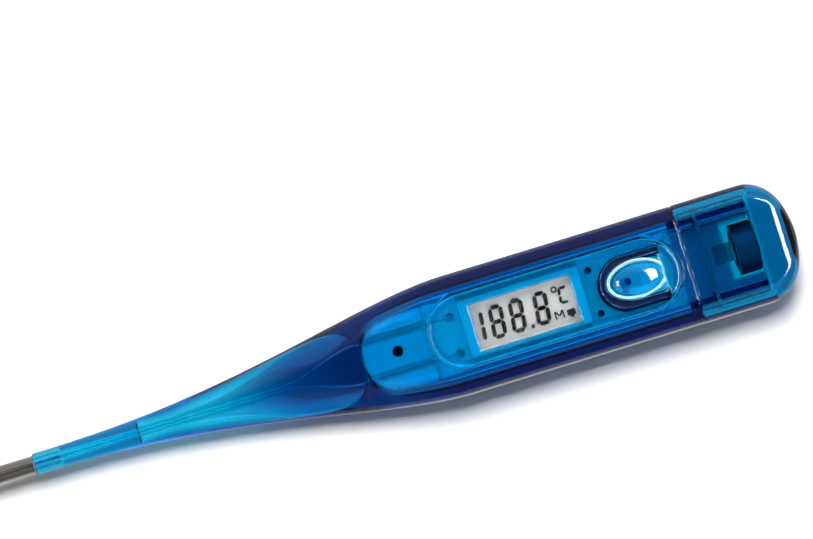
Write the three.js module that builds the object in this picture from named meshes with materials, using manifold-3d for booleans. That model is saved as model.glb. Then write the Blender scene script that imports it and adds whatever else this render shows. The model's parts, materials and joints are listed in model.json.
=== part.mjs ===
// Digital clinical thermometer: a translucent body with a slim probe, a recessed display panel
// with a press button, and a battery cap that pulls off the neck behind the body.
//
// Millimetres. +X runs from the probe tip to the battery cap, and +Z is up, out of the display.
// The origin is below the middle of the part, on the plane that the flat underside rests on.

import * as THREE from 'three';
import { mergeVertices } from 'three/addons/utils/BufferGeometryUtils.js';
import Module from 'manifold-3d';

const wasm = await Module();
wasm.setup();

// ---------------------------------------------------------------- driving dimensions

const LENGTH = 129.0;
const WIDTH = 18.5;
const THICKNESS = 10.6;

const TIP_X = -LENGTH / 2;
const CAP_END_X = LENGTH / 2;
const MID_Z = THICKNESS / 2;
const EDGE_RADIUS = 3.0;
const SQUARING = 3;
// The largest share of a section's half height or half width that a corner takes up.
const FULLEST_CORNER = 0.97;

// Body: a probe nose that swells into the flat body, as far as the seam of the battery cap.
const NOSE_X = -56.1;
const NOSE_RADIUS = 1.65;
const NOSE_Z = 5.0;
const FULL_X = 10.8;
const SEAM_X = 47.3;
const SWELL_IN = 2.38;
const SWELL_OUT = 1.82;
const BODY_HALF_WIDTH = 9.2;

// Body walls and hollows.
const SIDE_WALL = 2.2;
const FLOOR_WALL = 1.2;
const TOP_WALL = 1.8;
const CAVITY_RADIUS = 0.6;
const CAVITY_START_X = -3.9;
const CAVITY_END_X = 45.9;
const ARCH_LENGTH = 4.0;
const ARCH_START_FILL = 0.5;
const NOSE_HOLLOW_START_X = -39.7;
const NOSE_HOLLOW_FULL_X = -29.8;
const NOSE_HOLLOW_END_X = -4.5;
const NOSE_HOLLOW_WALL = 1.0;
const NOSE_HOLLOW_START_RADIUS = 1.4;
const SLIT_X = -13.0;
const SLIT_HALF_HEIGHT = 0.45;
const SLIT_END_LENGTH = 7.0;
const SLIT_END_FILL = 0.5;
const SLIT_END_PARTS = [0, 0.3, 0.55, 0.75, 0.9, 0.97, 1];
const NOSE_BORE_RADIUS = 0.7;
const BORE_RADIUS = 0.45;

// Lead wires from the sensor to the board.
const WIRE_RADIUS = 0.13;
const WIRE_NEAR = 0.2;
const WIRE_FAR = 2.85;
const WIRE_HIGH_Z = 6.6;
const WIRE_SPREAD_START_X = -17.0;
const WIRE_SPREAD_END_X = -4.0;
const GROOVE_WIDTH = 1.36;

// Neck: the plug that the battery cap slides on to.
const NECK_START_X = 45.0;
const NECK_END_X = 58.3;
const NECK_HALF_WIDTH = 7.55;
const NECK_LOW_Z = 1.5;
const NECK_HIGH_Z = 9.1;
const NECK_RADIUS = 0.7;
const NECK_INNER_RADIUS = 0.5;
const NECK_INNER_HALF_WIDTH = 6.0;
const NECK_WALL_Z = 1.4;
const CELL_SLOT_HALF_WIDTH = 4.4;
const CELL_SLOT_REACH = 1.3;
const RING_X = 50.05;
const RING_WIDTH = 0.55;
const RING_DEPTH = 0.3;
const RING_PROUD = 0.15;
const RING_GAP = 0.1;

// Battery cap.
const CAP_START_X = 47.4;
const CAP_HALF_WIDTH = WIDTH / 2;
const CAP_END_LENGTH = 6.5;
const CAP_END_DEPTH = 8.25;
const CAP_INNER_HALF_WIDTH = 8.1;
const CAP_INNER_END_DEPTH = 4.2;
const CAP_WALL_Z = 1.15;
const CAP_INNER_RADIUS = 1.3;
const CAP_END_WALL_Z = 2.0;
const CAP_STEP_X = 58.8;
const CAP_STEP_LENGTH = 0.15;
const CAP_INNER_END_X = 62.8;

// Display panel: a stadium that sits on a ledge in the top wall.
const PANEL_X = 26.3;
const PANEL_Y = 0.15;
const PANEL_LENGTH = 39.4;
const PANEL_WIDTH = 10.8;
const PANEL_LOW_Z = 9.2;
const PANEL_HIGH_Z = 10.0;
const PANEL_GAP = 0.15;
const LEDGE_WIDTH = 1.1;
const LOCATING_PIN_X = 32.6;
const LOCATING_PIN_Y = 3.4;
const LOCATING_PIN_RADIUS = 0.5;
const LOCATING_PIN_LOW_Z = 6.4;

// Display window and the stack under it.
const WINDOW_X = 21.6;
const WINDOW_LENGTH = 15.8;
const WINDOW_WIDTH = 7.3;
const GLASS_LENGTH = 17.6;
const GLASS_WIDTH = 9.4;
const REAR_GLASS_WIDTH = 7.2;
const REFLECTOR_LOW_Z = 6.75;
const REAR_GLASS_LOW_Z = 6.95;
const FRONT_GLASS_LOW_Z = 7.65;
const FRONT_GLASS_HIGH_Z = 8.35;
const POLARIZER_HIGH_Z = 8.55;
const FRAME_WALL = 0.6;
const FRAME_HIGH_Z = 8.75;
const FRAME_LIP_Z = 8.6;
const FRAME_LIP_MARGIN = 0.1;
const FRAME_GAP = 0.15;
const LENS_GAP = 0.08;
const LENS_RECESS = 0.15;
const ZEBRA_WIDTH = 0.8;

// Front block of the inner chassis, and the pin that holds it.
const BLOCK_GAP = 0.3;
const BLOCK_END_X = 6.4;
const BLOCK_HIGH_Z = 7.6;
const GROOVE_Z = 6.0;
const NOTCH_X = 0.25;
const RAIL_Y = 5.7;
const PIN_X = 1.6;
const PIN_Y = 0.15;
const PIN_RADIUS = 0.75;

// Circuit board.
const BOARD_LOW_Z = 4.6;
const BOARD_HIGH_Z = 5.4;
const BOARD_START_X = 6.7;
const BOARD_STEP_X = 45.3;
const BOARD_END_X = 53.5;
const BOARD_HALF_WIDTH = 6.6;
const BOARD_TAIL_HALF_WIDTH = 5.2;

// Power button: a tongue in a U-shaped slot, hinged at its root on the cap side.
const BUTTON_X = 39.3;
const BUTTON_ROOT_X = 43.5;
const TONGUE_RADII = [5.0, 3.15];
const SLOT_FREE_X = 33.7;
const SLOT_ROOT_X = 43.7;
const SLOT_HALF_WIDTH = 3.9;
const SEAL_OVERLAP = 0.35;
const BUTTON_RING_RADII = [4.75, 3.0];
const BUTTON_RING_WIDTH = 0.5;
const BUTTON_RING_HIGH_Z = 10.3;
const BUTTON_DOME_RADII = [3.95, 2.3];
const BUTTON_DOME_HIGH_Z = THICKNESS;
const STEM_X = 37.9;
const STEM_RADIUS = 0.5;
const STEM_GAP = 0.05;
const SWITCH_HEIGHT = 0.5;
const SWITCH_RADIUS = 2.2;
const SWITCH_SHEET = 0.12;
const SEAL_HIGH_Z = 8.5;

// Steel probe tip and what is inside it.
const SLEEVE_RADIUS = 1.35;
const SLEEVE_WALL = 0.15;
const SLEEVE_END_X = -52.0;
const SHOULDER_GAP = 0.05;
const SOCKET_END_X = -51.8;
const SHANK_RADIUS = 1.0;
const SOCKET_RADIUS = 1.07;
const BEAD_X = -63.0;
const BEAD_RADIUS = 0.5;
const EPOXY_SPAN = [-61.6, -57.0];
const EPOXY_BORE = 0.55;

// Button cell, standing on edge across the neck.
const CELL_X = 54.8;
const CELL_THICKNESS = 3.6;
const CELL_RADIUS = 3.95;
const CELL_CORNER = 0.2;
const CAN_WALL = 0.25;
const CUP_DEPTH = 1.6;
const GASKET_WALL = 0.35;
const CONTACT_SHEET = 0.2;
const CONTACT_GAP = 0.1;
const CONTACT_Y = 5.1;
const CONTACT_HIGH_Z = 7.4;
const CONTACT_FOOT = 3.0;

// Parts on the board: centre, size across X and Y, and height.
const BUZZER_X = 24.0;
const BUZZER_LAYERS = [1.2, 1.45, 1.65, 1.85];
const SPRING_SPAN = [2.15, 4.45];
const SPRING_WIRE_RADIUS = 0.12;
const CHIP = { x: 38.5, radius: 3.0, height: 1.1 };
const SOLDER = { x: 10.6, radius: 0.7, height: 0.18 };

// Mesh fineness.
const CORNER_STEPS = 5;
const BODY_STEPS = 26;
const NOSE_HOLLOW_STEPS = 9;
const SECTION_GAP = 1.5;
const ROUND_STEPS = 32;

// ---------------------------------------------------------------- shape helpers

function smoothSwell(x) {
  const along = THREE.MathUtils.clamp((x - NOSE_X) / (FULL_X - NOSE_X), 0, 1);
  return 1 - (1 - along ** SWELL_IN) ** SWELL_OUT;
}

// Half width, lowest and highest point and corners of the body's outside at x: oval at the nose, squarer
// as the body swells.
function bodySection(x) {
  const swell = smoothSwell(x);
  const halfWidth = THREE.MathUtils.lerp(NOSE_RADIUS, BODY_HALF_WIDTH, swell);
  const halfHeight = THREE.MathUtils.lerp(NOSE_RADIUS, MID_Z, swell);
  const middle = THREE.MathUtils.lerp(NOSE_Z, MID_Z, swell);
  const squared = swell ** SQUARING;
  const radius = THREE.MathUtils.lerp(halfHeight, EDGE_RADIUS, squared);
  const across = THREE.MathUtils.lerp(halfWidth, EDGE_RADIUS, squared);
  return { x, halfWidth, low: middle - halfHeight, high: middle + halfHeight, radius, across };
}

// One closed ring of points round a rounded rectangle that stands across X. Its corners are as high as
// radius, and as wide as across where that is given.
function ring({ x, halfWidth, low, high, radius, across = radius }) {
  const rise = Math.min(radius, (high - low) / 2 * FULLEST_CORNER);
  const reach = Math.min(across, halfWidth * FULLEST_CORNER);
  const points = [];
  const corners = [
    [halfWidth - reach, high - rise, 0],
    [reach - halfWidth, high - rise, 1],
    [reach - halfWidth, low + rise, 2],
    [halfWidth - reach, low + rise, 3],
  ];
  for (const [y, z, quarter] of corners) {
    for (let step = 0; step <= CORNER_STEPS; step += 1) {
      const angle = (quarter + step / CORNER_STEPS) * Math.PI / 2;
      points.push([x, y + reach * Math.cos(angle), z + rise * Math.sin(angle)]);
    }
  }
  return points;
}

// A closed body through a list of sections, in order of rising x.
function loft(sections) {
  const rings = sections.map(ring);
  const count = rings[0].length;
  const last = rings.length - 1;
  const positions = rings.flat(2);
  const faces = [];
  for (let i = 0; i < last; i += 1) {
    for (let j = 0; j < count; j += 1) {
      const next = (j + 1) % count;
      const a = i * count + j;
      const b = i * count + next;
      faces.push(a, b, a + count, b, b + count, a + count);
    }
  }
  for (let j = 1; j < count - 1; j += 1) {
    faces.push(0, j + 1, j);
    faces.push(last * count, last * count + j, last * count + j + 1);
  }
  const geometry = new THREE.BufferGeometry();
  geometry.setAttribute('position', new THREE.Float32BufferAttribute(positions, 3));
  geometry.setIndex(faces);
  return geometry;
}

// A rounded bar along X with the same section all the way.
function bar(fromX, toX, halfWidth, low, high, radius) {
  const section = { halfWidth, low, high, radius };
  return loft([{ x: fromX, ...section }, { x: toX, ...section }]);
}

function box([x0, x1], [y0, y1], [z0, z1]) {
  const geometry = new THREE.BoxGeometry(x1 - x0, y1 - y0, z1 - z0);
  return geometry.translate((x0 + x1) / 2, (y0 + y1) / 2, (z0 + z1) / 2);
}

function plate(shape, low, high, curveSegments = 12) {
  const options = { depth: high - low, bevelEnabled: false, curveSegments };
  return new THREE.ExtrudeGeometry(shape, options).translate(0, 0, low);
}

function stadium(length, width) {
  const radius = width / 2;
  const reach = length / 2 - radius;
  const shape = new THREE.Shape();
  shape.absarc(reach, 0, radius, -Math.PI / 2, Math.PI / 2, false);
  shape.absarc(-reach, 0, radius, Math.PI / 2, Math.PI * 1.5, false);
  shape.closePath();
  return shape;
}

function stadiumPlate(length, width, low, high) {
  return plate(stadium(length, width), low, high).translate(PANEL_X, PANEL_Y, 0);
}

function oval([radiusX, radiusY]) {
  const shape = new THREE.Shape();
  shape.absellipse(0, 0, radiusX, radiusY, 0, Math.PI * 2, false, 0);
  return shape;
}

// A solid of revolution about the X line through (0, y, z); the profile is [x, radius] points.
function turnedX(profile, y, z, steps = ROUND_STEPS) {
  const points = profile.map(([x, radius]) => new THREE.Vector2(radius, x));
  const geometry = new THREE.LatheGeometry(points, steps);
  return geometry.rotateZ(-Math.PI / 2).translate(0, y, z);
}

function turnedZ(profile, x, y, steps = ROUND_STEPS) {
  const points = profile.map(([z, radius]) => new THREE.Vector2(radius, z));
  return new THREE.LatheGeometry(points, steps).rotateX(Math.PI / 2).translate(x, y, 0);
}

function discZ(x, y, low, high, radius, steps = ROUND_STEPS) {
  return turnedZ([[low, 0], [low, radius], [high, radius], [high, 0]], x, y, steps);
}

function ringZ(x, y, [low, high], [inner, outer], steps = ROUND_STEPS) {
  const profile = [[low, inner], [low, outer], [high, outer], [high, inner], [low, inner]];
  return turnedZ(profile, x, y, steps);
}

// A round wire through a list of points.
function wire(points, radius, steps) {
  const curve = new THREE.CatmullRomCurve3(points.map((p) => new THREE.Vector3(...p)));
  const section = new THREE.Shape();
  section.absarc(0, 0, radius, 0, Math.PI * 2, false);
  const options = { steps, extrudePath: curve, curveSegments: 4, bevelEnabled: false };
  return new THREE.ExtrudeGeometry(section, options);
}

// ---------------------------------------------------------------- joining and cutting

function toSolid(source) {
  const bare = source.clone();
  bare.deleteAttribute('normal');
  bare.deleteAttribute('uv');
  const merged = mergeVertices(bare, 1e-5);
  const triVerts = new Uint32Array(merged.index.array);
  const vertProperties = new Float32Array(merged.attributes.position.array);
  const solid = new wasm.Manifold(new wasm.Mesh({ numProp: 3, vertProperties, triVerts }));
  if (solid.volume() > 0) return solid;
  const flipped = triVerts.slice().reverse();
  return new wasm.Manifold(new wasm.Mesh({ numProp: 3, vertProperties, triVerts: flipped }));
}

function toGeometry(solid) {
  const mesh = solid.getMesh();
  const geometry = new THREE.BufferGeometry();
  geometry.setAttribute('position', new THREE.Float32BufferAttribute(mesh.vertProperties, 3));
  geometry.setIndex(Array.from(mesh.triVerts));
  geometry.computeVertexNormals();
  return geometry;
}

// Joins all of the first list, then cuts away all of the second.
function carve(joined, removed = []) {
  let solid = toSolid(joined[0]);
  for (const piece of joined.slice(1)) solid = solid.add(toSolid(piece));
  for (const piece of removed) solid = solid.subtract(toSolid(piece));
  return toGeometry(solid);
}

// ---------------------------------------------------------------- materials and nodes

const FINISHES = {
  bluePlastic: { color: 0x0f6fb8, roughness: 0.15, metalness: 0, transparent: true, opacity: 0.55 },
  clearPlastic: { color: 0xdfe8ee, roughness: 0.08, metalness: 0, transparent: true, opacity: 0.4 },
  palePlastic: { color: 0xe6ebee, roughness: 0.45, metalness: 0 },
  blackRubber: { color: 0x15181f, roughness: 0.7, metalness: 0 },
  silicone: { color: 0xccd4d6, roughness: 0.6, metalness: 0 },
  steel: { color: 0xb4b1ab, roughness: 0.25, metalness: 1 },
  nickel: { color: 0xc3c4c2, roughness: 0.3, metalness: 1 },
  brass: { color: 0xc79b4a, roughness: 0.35, metalness: 1 },
  ceramic: { color: 0xd9d5c8, roughness: 0.5, metalness: 0 },
  board: { color: 0xe4e9e6, roughness: 0.4, metalness: 0 },
  glass: { color: 0xd2dad8, roughness: 0.05, metalness: 0 },
  reflector: { color: 0xc9cbcb, roughness: 0.5, metalness: 0 },
  epoxy: { color: 0x101113, roughness: 0.4, metalness: 0 },
  wireCoat: { color: 0x3b2318, roughness: 0.5, metalness: 0 },
  solder: { color: 0xbfc2c4, roughness: 0.35, metalness: 1 },
};

const group = new THREE.Group();

function addNode(name, finish, geometry) {
  const material = new THREE.MeshStandardMaterial(FINISHES[finish]);
  const mesh = new THREE.Mesh(toGeometry(toSolid(geometry)), material);
  mesh.name = name;
  group.add(mesh);
}

// ---------------------------------------------------------------- housing

function sectionsBetween(fromX, toX, count, make) {
  const sections = [];
  for (let i = 0; i <= count; i += 1) {
    sections.push(make(fromX + (toX - fromX) * i / count));
  }
  return sections;
}

function bodyOutside() {
  const swelling = sectionsBetween(NOSE_X, FULL_X, BODY_STEPS, bodySection);
  return loft([...swelling, { ...bodySection(FULL_X), x: SEAM_X }]);
}

// The hollow follows the outside at wall distance, and closes in a blunt arch towards the probe.
function hollowSection(x) {
  const outside = bodySection(x);
  const into = THREE.MathUtils.clamp((x - CAVITY_START_X) / ARCH_LENGTH, 0, 1);
  const fill = THREE.MathUtils.lerp(ARCH_START_FILL, 1, Math.sqrt(1 - (1 - into) ** 2));
  const halfWidth = (outside.halfWidth - SIDE_WALL) * fill;
  const low = outside.low + FLOOR_WALL;
  const high = outside.high - TOP_WALL;
  return { x, halfWidth, low, high, radius: CAVITY_RADIUS };
}

const ARCH_PLACES = [0, 0.04, 0.12, 0.25, 0.45, 0.7, 1].map((part) => CAVITY_START_X + part * ARCH_LENGTH);

function mainHollow() {
  const arch = ARCH_PLACES.map(hollowSection);
  const widening = sectionsBetween(CAVITY_START_X + ARCH_LENGTH + SECTION_GAP, FULL_X, 4, hollowSection);
  return loft([...arch, ...widening, hollowSection(CAVITY_END_X)]);
}

// The hollow of the nose widens with the outside, then flattens to a slit that holds the lead wires.
function noseHollowSection(x) {
  const { clamp, lerp, smoothstep } = THREE.MathUtils;
  const outside = bodySection(x);
  const opened = smoothstep(x, NOSE_HOLLOW_START_X, NOSE_HOLLOW_FULL_X);
  const flattened = smoothstep(x, NOSE_HOLLOW_FULL_X, SLIT_X);
  const fullHeight = (outside.high - outside.low) / 2 - NOSE_HOLLOW_WALL;
  const startHeight = Math.min(NOSE_HOLLOW_START_RADIUS, fullHeight);
  const halfHeight = lerp(lerp(startHeight, fullHeight, opened), SLIT_HALF_HEIGHT, flattened);
  const fullWidth = outside.halfWidth - NOSE_HOLLOW_WALL;
  const intoEnd = clamp(1 - (NOSE_HOLLOW_END_X - x) / SLIT_END_LENGTH, 0, 1);
  const fill = lerp(SLIT_END_FILL, 1, Math.sqrt(1 - intoEnd ** 2));
  const halfWidth = lerp(NOSE_HOLLOW_START_RADIUS, fullWidth, opened) * fill;
  const middle = lerp((outside.low + outside.high) / 2, wirePlace(x).z, flattened);
  return { x, halfWidth, low: middle - halfHeight, high: middle + halfHeight, radius: halfHeight };
}

function noseHollow() {
  const endPlaces = SLIT_END_PARTS.map((part) => NOSE_HOLLOW_END_X - SLIT_END_LENGTH * (1 - part));
  const widening = sectionsBetween(NOSE_HOLLOW_START_X, endPlaces[0] - SECTION_GAP, NOSE_HOLLOW_STEPS,
    noseHollowSection);
  return loft([...widening, ...endPlaces.map(noseHollowSection)]);
}

// Where the two lead wires run at x: side by side in the probe, then spread and raised.
function wirePlace(x) {
  const spread = THREE.MathUtils.smoothstep(x, WIRE_SPREAD_START_X, WIRE_SPREAD_END_X);
  const apart = THREE.MathUtils.lerp(WIRE_NEAR, WIRE_FAR, spread);
  return { apart, z: THREE.MathUtils.lerp(NOSE_Z, WIRE_HIGH_Z, spread) };
}

function wireBore() {
  const { clamp, lerp } = THREE.MathUtils;
  const make = (x) => {
    const { apart, z } = wirePlace(x);
    const narrowed = clamp((x - SOCKET_END_X) / (WIRE_SPREAD_START_X - SOCKET_END_X), 0, 1);
    const radius = lerp(NOSE_BORE_RADIUS, BORE_RADIUS, narrowed);
    return { x, halfWidth: radius + apart - WIRE_NEAR, low: z - radius, high: z + radius, radius };
  };
  const straight = sectionsBetween(SOCKET_END_X - 1, WIRE_SPREAD_START_X - 0.5, 1, make);
  return loft([...straight, ...sectionsBetween(WIRE_SPREAD_START_X, CAVITY_START_X + 1.5, 7, make)]);
}

// A band round the neck, from proud of its surface down to a depth below it.
function neckBand(fromX, toX, proud, depth) {
  const outer = bar(fromX, toX, NECK_HALF_WIDTH + proud, NECK_LOW_Z - proud, NECK_HIGH_Z + proud,
    NECK_RADIUS + proud);
  const inner = bar(fromX - 1, toX + 1, NECK_HALF_WIDTH - depth, NECK_LOW_Z + depth, NECK_HIGH_Z - depth,
    NECK_RADIUS);
  return carve([outer], [inner]);
}

function mainHousing() {
  const neck = bar(NECK_START_X, NECK_END_X, NECK_HALF_WIDTH, NECK_LOW_Z, NECK_HIGH_Z, NECK_RADIUS);
  const neckInside = bar(CAVITY_END_X - 1, NECK_END_X + 1, NECK_INNER_HALF_WIDTH,
    NECK_LOW_Z + NECK_WALL_Z, NECK_HIGH_Z - NECK_WALL_Z, NECK_INNER_RADIUS);
  const cellSlot = box([CELL_X - CELL_SLOT_REACH, NECK_END_X + 1],
    [-CELL_SLOT_HALF_WIDTH, CELL_SLOT_HALF_WIDTH], [0, THICKNESS]);
  const groove = neckBand(RING_X - RING_GAP, RING_X + RING_WIDTH + RING_GAP, 1, RING_DEPTH);
  const socket = turnedX([[NOSE_X - 1, 0], [NOSE_X - 1, SOCKET_RADIUS], [SOCKET_END_X, SOCKET_RADIUS],
    [SOCKET_END_X, 0]], 0, NOSE_Z);
  const rebateLength = PANEL_LENGTH + 2 * PANEL_GAP;
  const rebateWidth = PANEL_WIDTH + 2 * PANEL_GAP;
  const rebate = stadiumPlate(rebateLength, rebateWidth, PANEL_LOW_Z, THICKNESS + 1);
  const opening = stadiumPlate(rebateLength - 2 * LEDGE_WIDTH, rebateWidth - 2 * LEDGE_WIDTH,
    THICKNESS - TOP_WALL - 1, THICKNESS);
  const hollows = [mainHollow(), noseHollow(), wireBore(), socket];
  return carve([bodyOutside(), neck], [...hollows, neckInside, cellSlot, groove, rebate, opening]);
}

function capRing() {
  return neckBand(RING_X, RING_X + RING_WIDTH, RING_PROUD, RING_DEPTH - RING_GAP / 2);
}

// ---------------------------------------------------------------- battery cap

// Plan: straight sides, then an elliptical end. Side view: an edge of EDGE_RADIUS at the end.
function capSection(x) {
  const intoEnd = Math.max(0, x - (CAP_END_X - CAP_END_LENGTH)) / CAP_END_LENGTH;
  const halfWidth = CAP_HALF_WIDTH - CAP_END_DEPTH * (1 - Math.sqrt(1 - intoEnd ** 2));
  const intoEdge = Math.max(0, x - (CAP_END_X - EDGE_RADIUS)) / EDGE_RADIUS;
  const halfHeight = MID_Z - EDGE_RADIUS * (1 - Math.sqrt(1 - intoEdge ** 2));
  return { x, halfWidth, low: MID_Z - halfHeight, high: MID_Z + halfHeight, radius: EDGE_RADIUS };
}

// The hollow ends in the same kind of curve, flatter and one wall in from the outside.
function capHollowSection(x) {
  const start = CAP_END_X - CAP_END_LENGTH;
  const intoEnd = Math.max(0, x - start) / (CAP_INNER_END_X - start);
  const halfWidth = CAP_INNER_HALF_WIDTH - CAP_INNER_END_DEPTH * (1 - Math.sqrt(1 - intoEnd ** 2));
  const stepped = THREE.MathUtils.clamp((x - CAP_STEP_X) / CAP_STEP_LENGTH, 0, 1);
  const wall = THREE.MathUtils.lerp(CAP_WALL_Z, CAP_END_WALL_Z, stepped);
  return { x, halfWidth, low: wall, high: THICKNESS - wall, radius: CAP_INNER_RADIUS };
}

// Places along X that crowd together towards the end, as the points of a quarter circle do.
function crowdedPlaces(fromX, toX, count) {
  const places = [];
  for (let i = 0; i < count; i += 1) {
    places.push(fromX + (toX - fromX) * Math.sin(i / count * Math.PI / 2));
  }
  return [...places, toX];
}

function batteryCap() {
  const start = CAP_END_X - CAP_END_LENGTH;
  const outside = [CAP_START_X, ...crowdedPlaces(start, CAP_END_X, 10)].map(capSection);
  const afterStep = crowdedPlaces(CAP_STEP_X + CAP_STEP_LENGTH, CAP_INNER_END_X, 6);
  const inside = [CAP_START_X - 1, start, CAP_STEP_X, ...afterStep].map(capHollowSection);
  return carve([loft(outside)], [loft(inside)]);
}

// ---------------------------------------------------------------- display panel and button

// Straight sides from the root, closed by half an ellipse at the free end.
function tongueShape(bendX, [radiusX, radiusY], rootX) {
  const shape = new THREE.Shape();
  shape.moveTo(rootX, -radiusY);
  shape.lineTo(rootX, radiusY);
  shape.lineTo(bendX, radiusY);
  shape.absellipse(bendX, 0, radiusX, radiusY, Math.PI / 2, Math.PI * 1.5, false, 0);
  shape.closePath();
  return shape;
}

function slotShape(grow, rootX) {
  const radius = SLOT_HALF_WIDTH + grow;
  return tongueShape(SLOT_FREE_X + SLOT_HALF_WIDTH, [radius, radius], rootX);
}

function displayPanel() {
  const body = stadiumPlate(PANEL_LENGTH, PANEL_WIDTH, PANEL_LOW_Z, PANEL_HIGH_Z);
  const window = box([WINDOW_X - WINDOW_LENGTH / 2, WINDOW_X + WINDOW_LENGTH / 2],
    [-WINDOW_WIDTH / 2, WINDOW_WIDTH / 2], [PANEL_LOW_Z - 1, PANEL_HIGH_Z + 1]);
  const slot = plate(slotShape(0, SLOT_ROOT_X), PANEL_LOW_Z - 1, PANEL_HIGH_Z + 1);
  const pins = [-LOCATING_PIN_Y, LOCATING_PIN_Y].map((y) => (
    discZ(LOCATING_PIN_X, y, LOCATING_PIN_LOW_Z, PANEL_LOW_Z + 0.2, LOCATING_PIN_RADIUS, 16)));
  return carve([body, ...pins], [window, slot]);
}

function powerButton() {
  const tongue = plate(tongueShape(BUTTON_X, TONGUE_RADII, BUTTON_ROOT_X), PANEL_LOW_Z, PANEL_HIGH_Z);
  const rim = plate(oval(BUTTON_RING_RADII), PANEL_HIGH_Z - 0.4, BUTTON_RING_HIGH_Z, 16);
  const rimInner = BUTTON_RING_RADII.map((radius) => radius - BUTTON_RING_WIDTH);
  const rimHole = plate(oval(rimInner), PANEL_HIGH_Z, BUTTON_RING_HIGH_Z + 1, 16);
  const domeLow = PANEL_HIGH_Z - 0.3;
  const dome = new THREE.SphereGeometry(1, 32, 16);
  dome.scale(...BUTTON_DOME_RADII, BUTTON_DOME_HIGH_Z - domeLow);
  dome.translate(0, 0, domeLow);
  const onTongue = (geometry) => geometry.translate(BUTTON_X, 0, 0);
  const trim = box([SLOT_FREE_X, BUTTON_ROOT_X], [-SLOT_HALF_WIDTH, SLOT_HALF_WIDTH],
    [PANEL_LOW_Z, THICKNESS]);
  const stemLow = BOARD_HIGH_Z + SWITCH_HEIGHT + STEM_GAP;
  const stem = discZ(STEM_X, 0, stemLow, PANEL_LOW_Z + 0.2, STEM_RADIUS, 20);
  const raised = toSolid(onTongue(rim)).subtract(toSolid(onTongue(rimHole))).add(toSolid(onTongue(dome)));
  const button = raised.intersect(toSolid(trim)).add(toSolid(tongue)).add(toSolid(stem));
  return toGeometry(button);
}

function displayLens() {
  const halfLength = WINDOW_LENGTH / 2 - LENS_GAP;
  const halfWidth = WINDOW_WIDTH / 2 - LENS_GAP;
  return box([WINDOW_X - halfLength, WINDOW_X + halfLength], [-halfWidth, halfWidth],
    [PANEL_LOW_Z, PANEL_HIGH_Z - LENS_RECESS]);
}

// ---------------------------------------------------------------- display stack

function glassPlate(width, low, high, length = GLASS_LENGTH) {
  return box([WINDOW_X - length / 2, WINDOW_X + length / 2], [-width / 2, width / 2], [low, high]);
}

function displayFrame() {
  const length = GLASS_LENGTH + 2 * FRAME_GAP;
  const width = GLASS_WIDTH + 2 * FRAME_GAP;
  const outside = glassPlate(width + 2 * FRAME_WALL, BOARD_HIGH_Z, FRAME_HIGH_Z, length + 2 * FRAME_WALL);
  const inside = glassPlate(width, BOARD_HIGH_Z - 1, FRAME_LIP_Z, length);
  const lipWidth = WINDOW_WIDTH + 2 * FRAME_LIP_MARGIN;
  const lipLength = WINDOW_LENGTH + 2 * FRAME_LIP_MARGIN;
  const opening = glassPlate(lipWidth, BOARD_HIGH_Z, FRAME_HIGH_Z + 1, lipLength);
  return carve([outside], [inside, opening]);
}

function zebraStrip(side) {
  const ledgeMiddle = (GLASS_WIDTH + REAR_GLASS_WIDTH) / 4;
  const reach = (GLASS_LENGTH - ZEBRA_WIDTH) / 2;
  const middle = side * ledgeMiddle;
  return box([WINDOW_X - reach, WINDOW_X + reach], [middle - ZEBRA_WIDTH / 2, middle + ZEBRA_WIDTH / 2],
    [BOARD_HIGH_Z, FRONT_GLASS_LOW_Z]);
}

// ---------------------------------------------------------------- board and its parts

function circuitBoard() {
  const outline = new THREE.Shape();
  outline.moveTo(BOARD_START_X, -BOARD_HALF_WIDTH);
  outline.lineTo(BOARD_STEP_X, -BOARD_HALF_WIDTH);
  outline.lineTo(BOARD_STEP_X, -BOARD_TAIL_HALF_WIDTH);
  outline.lineTo(BOARD_END_X, -BOARD_TAIL_HALF_WIDTH);
  outline.lineTo(BOARD_END_X, BOARD_TAIL_HALF_WIDTH);
  outline.lineTo(BOARD_STEP_X, BOARD_TAIL_HALF_WIDTH);
  outline.lineTo(BOARD_STEP_X, BOARD_HALF_WIDTH);
  outline.lineTo(BOARD_START_X, BOARD_HALF_WIDTH);
  outline.closePath();
  return plate(outline, BOARD_LOW_Z, BOARD_HIGH_Z);
}

function surfaceChip(x, y, height) {
  const halfLength = 0.8;
  const halfWidth = 0.4;
  return box([x - halfLength, x + halfLength], [y - halfWidth, y + halfWidth],
    [BOARD_LOW_Z - height, BOARD_LOW_Z]);
}

// A drop of compound under the board, as a quarter ellipse turned round.
function chipBlob() {
  const steps = 6;
  const profile = [[BOARD_LOW_Z, 0]];
  for (let i = 0; i < steps; i += 1) {
    const angle = i / steps * Math.PI / 2;
    profile.push([BOARD_LOW_Z - CHIP.height * Math.sin(angle), CHIP.radius * Math.cos(angle)]);
  }
  profile.push([BOARD_LOW_Z - CHIP.height, 0]);
  return turnedZ(profile, CHIP.x, 0, 24);
}

function solderJoint(side) {
  return discZ(SOLDER.x, side * WIRE_FAR, BOARD_HIGH_Z, BOARD_HIGH_Z + SOLDER.height, SOLDER.radius, 16);
}

function switchDome() {
  const steps = 6;
  const arc = (height, radius) => {
    const points = [];
    for (let i = 0; i <= steps; i += 1) {
      const part = i / steps;
      points.push([BOARD_HIGH_Z + height * (1 - part ** 2), radius * part]);
    }
    return points;
  };
  const top = arc(SWITCH_HEIGHT, SWITCH_RADIUS);
  const under = arc(SWITCH_HEIGHT - SWITCH_SHEET, SWITCH_RADIUS - 2 * SWITCH_SHEET).reverse();
  return turnedZ([...top, ...under], STEM_X, 0, 24);
}

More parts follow.
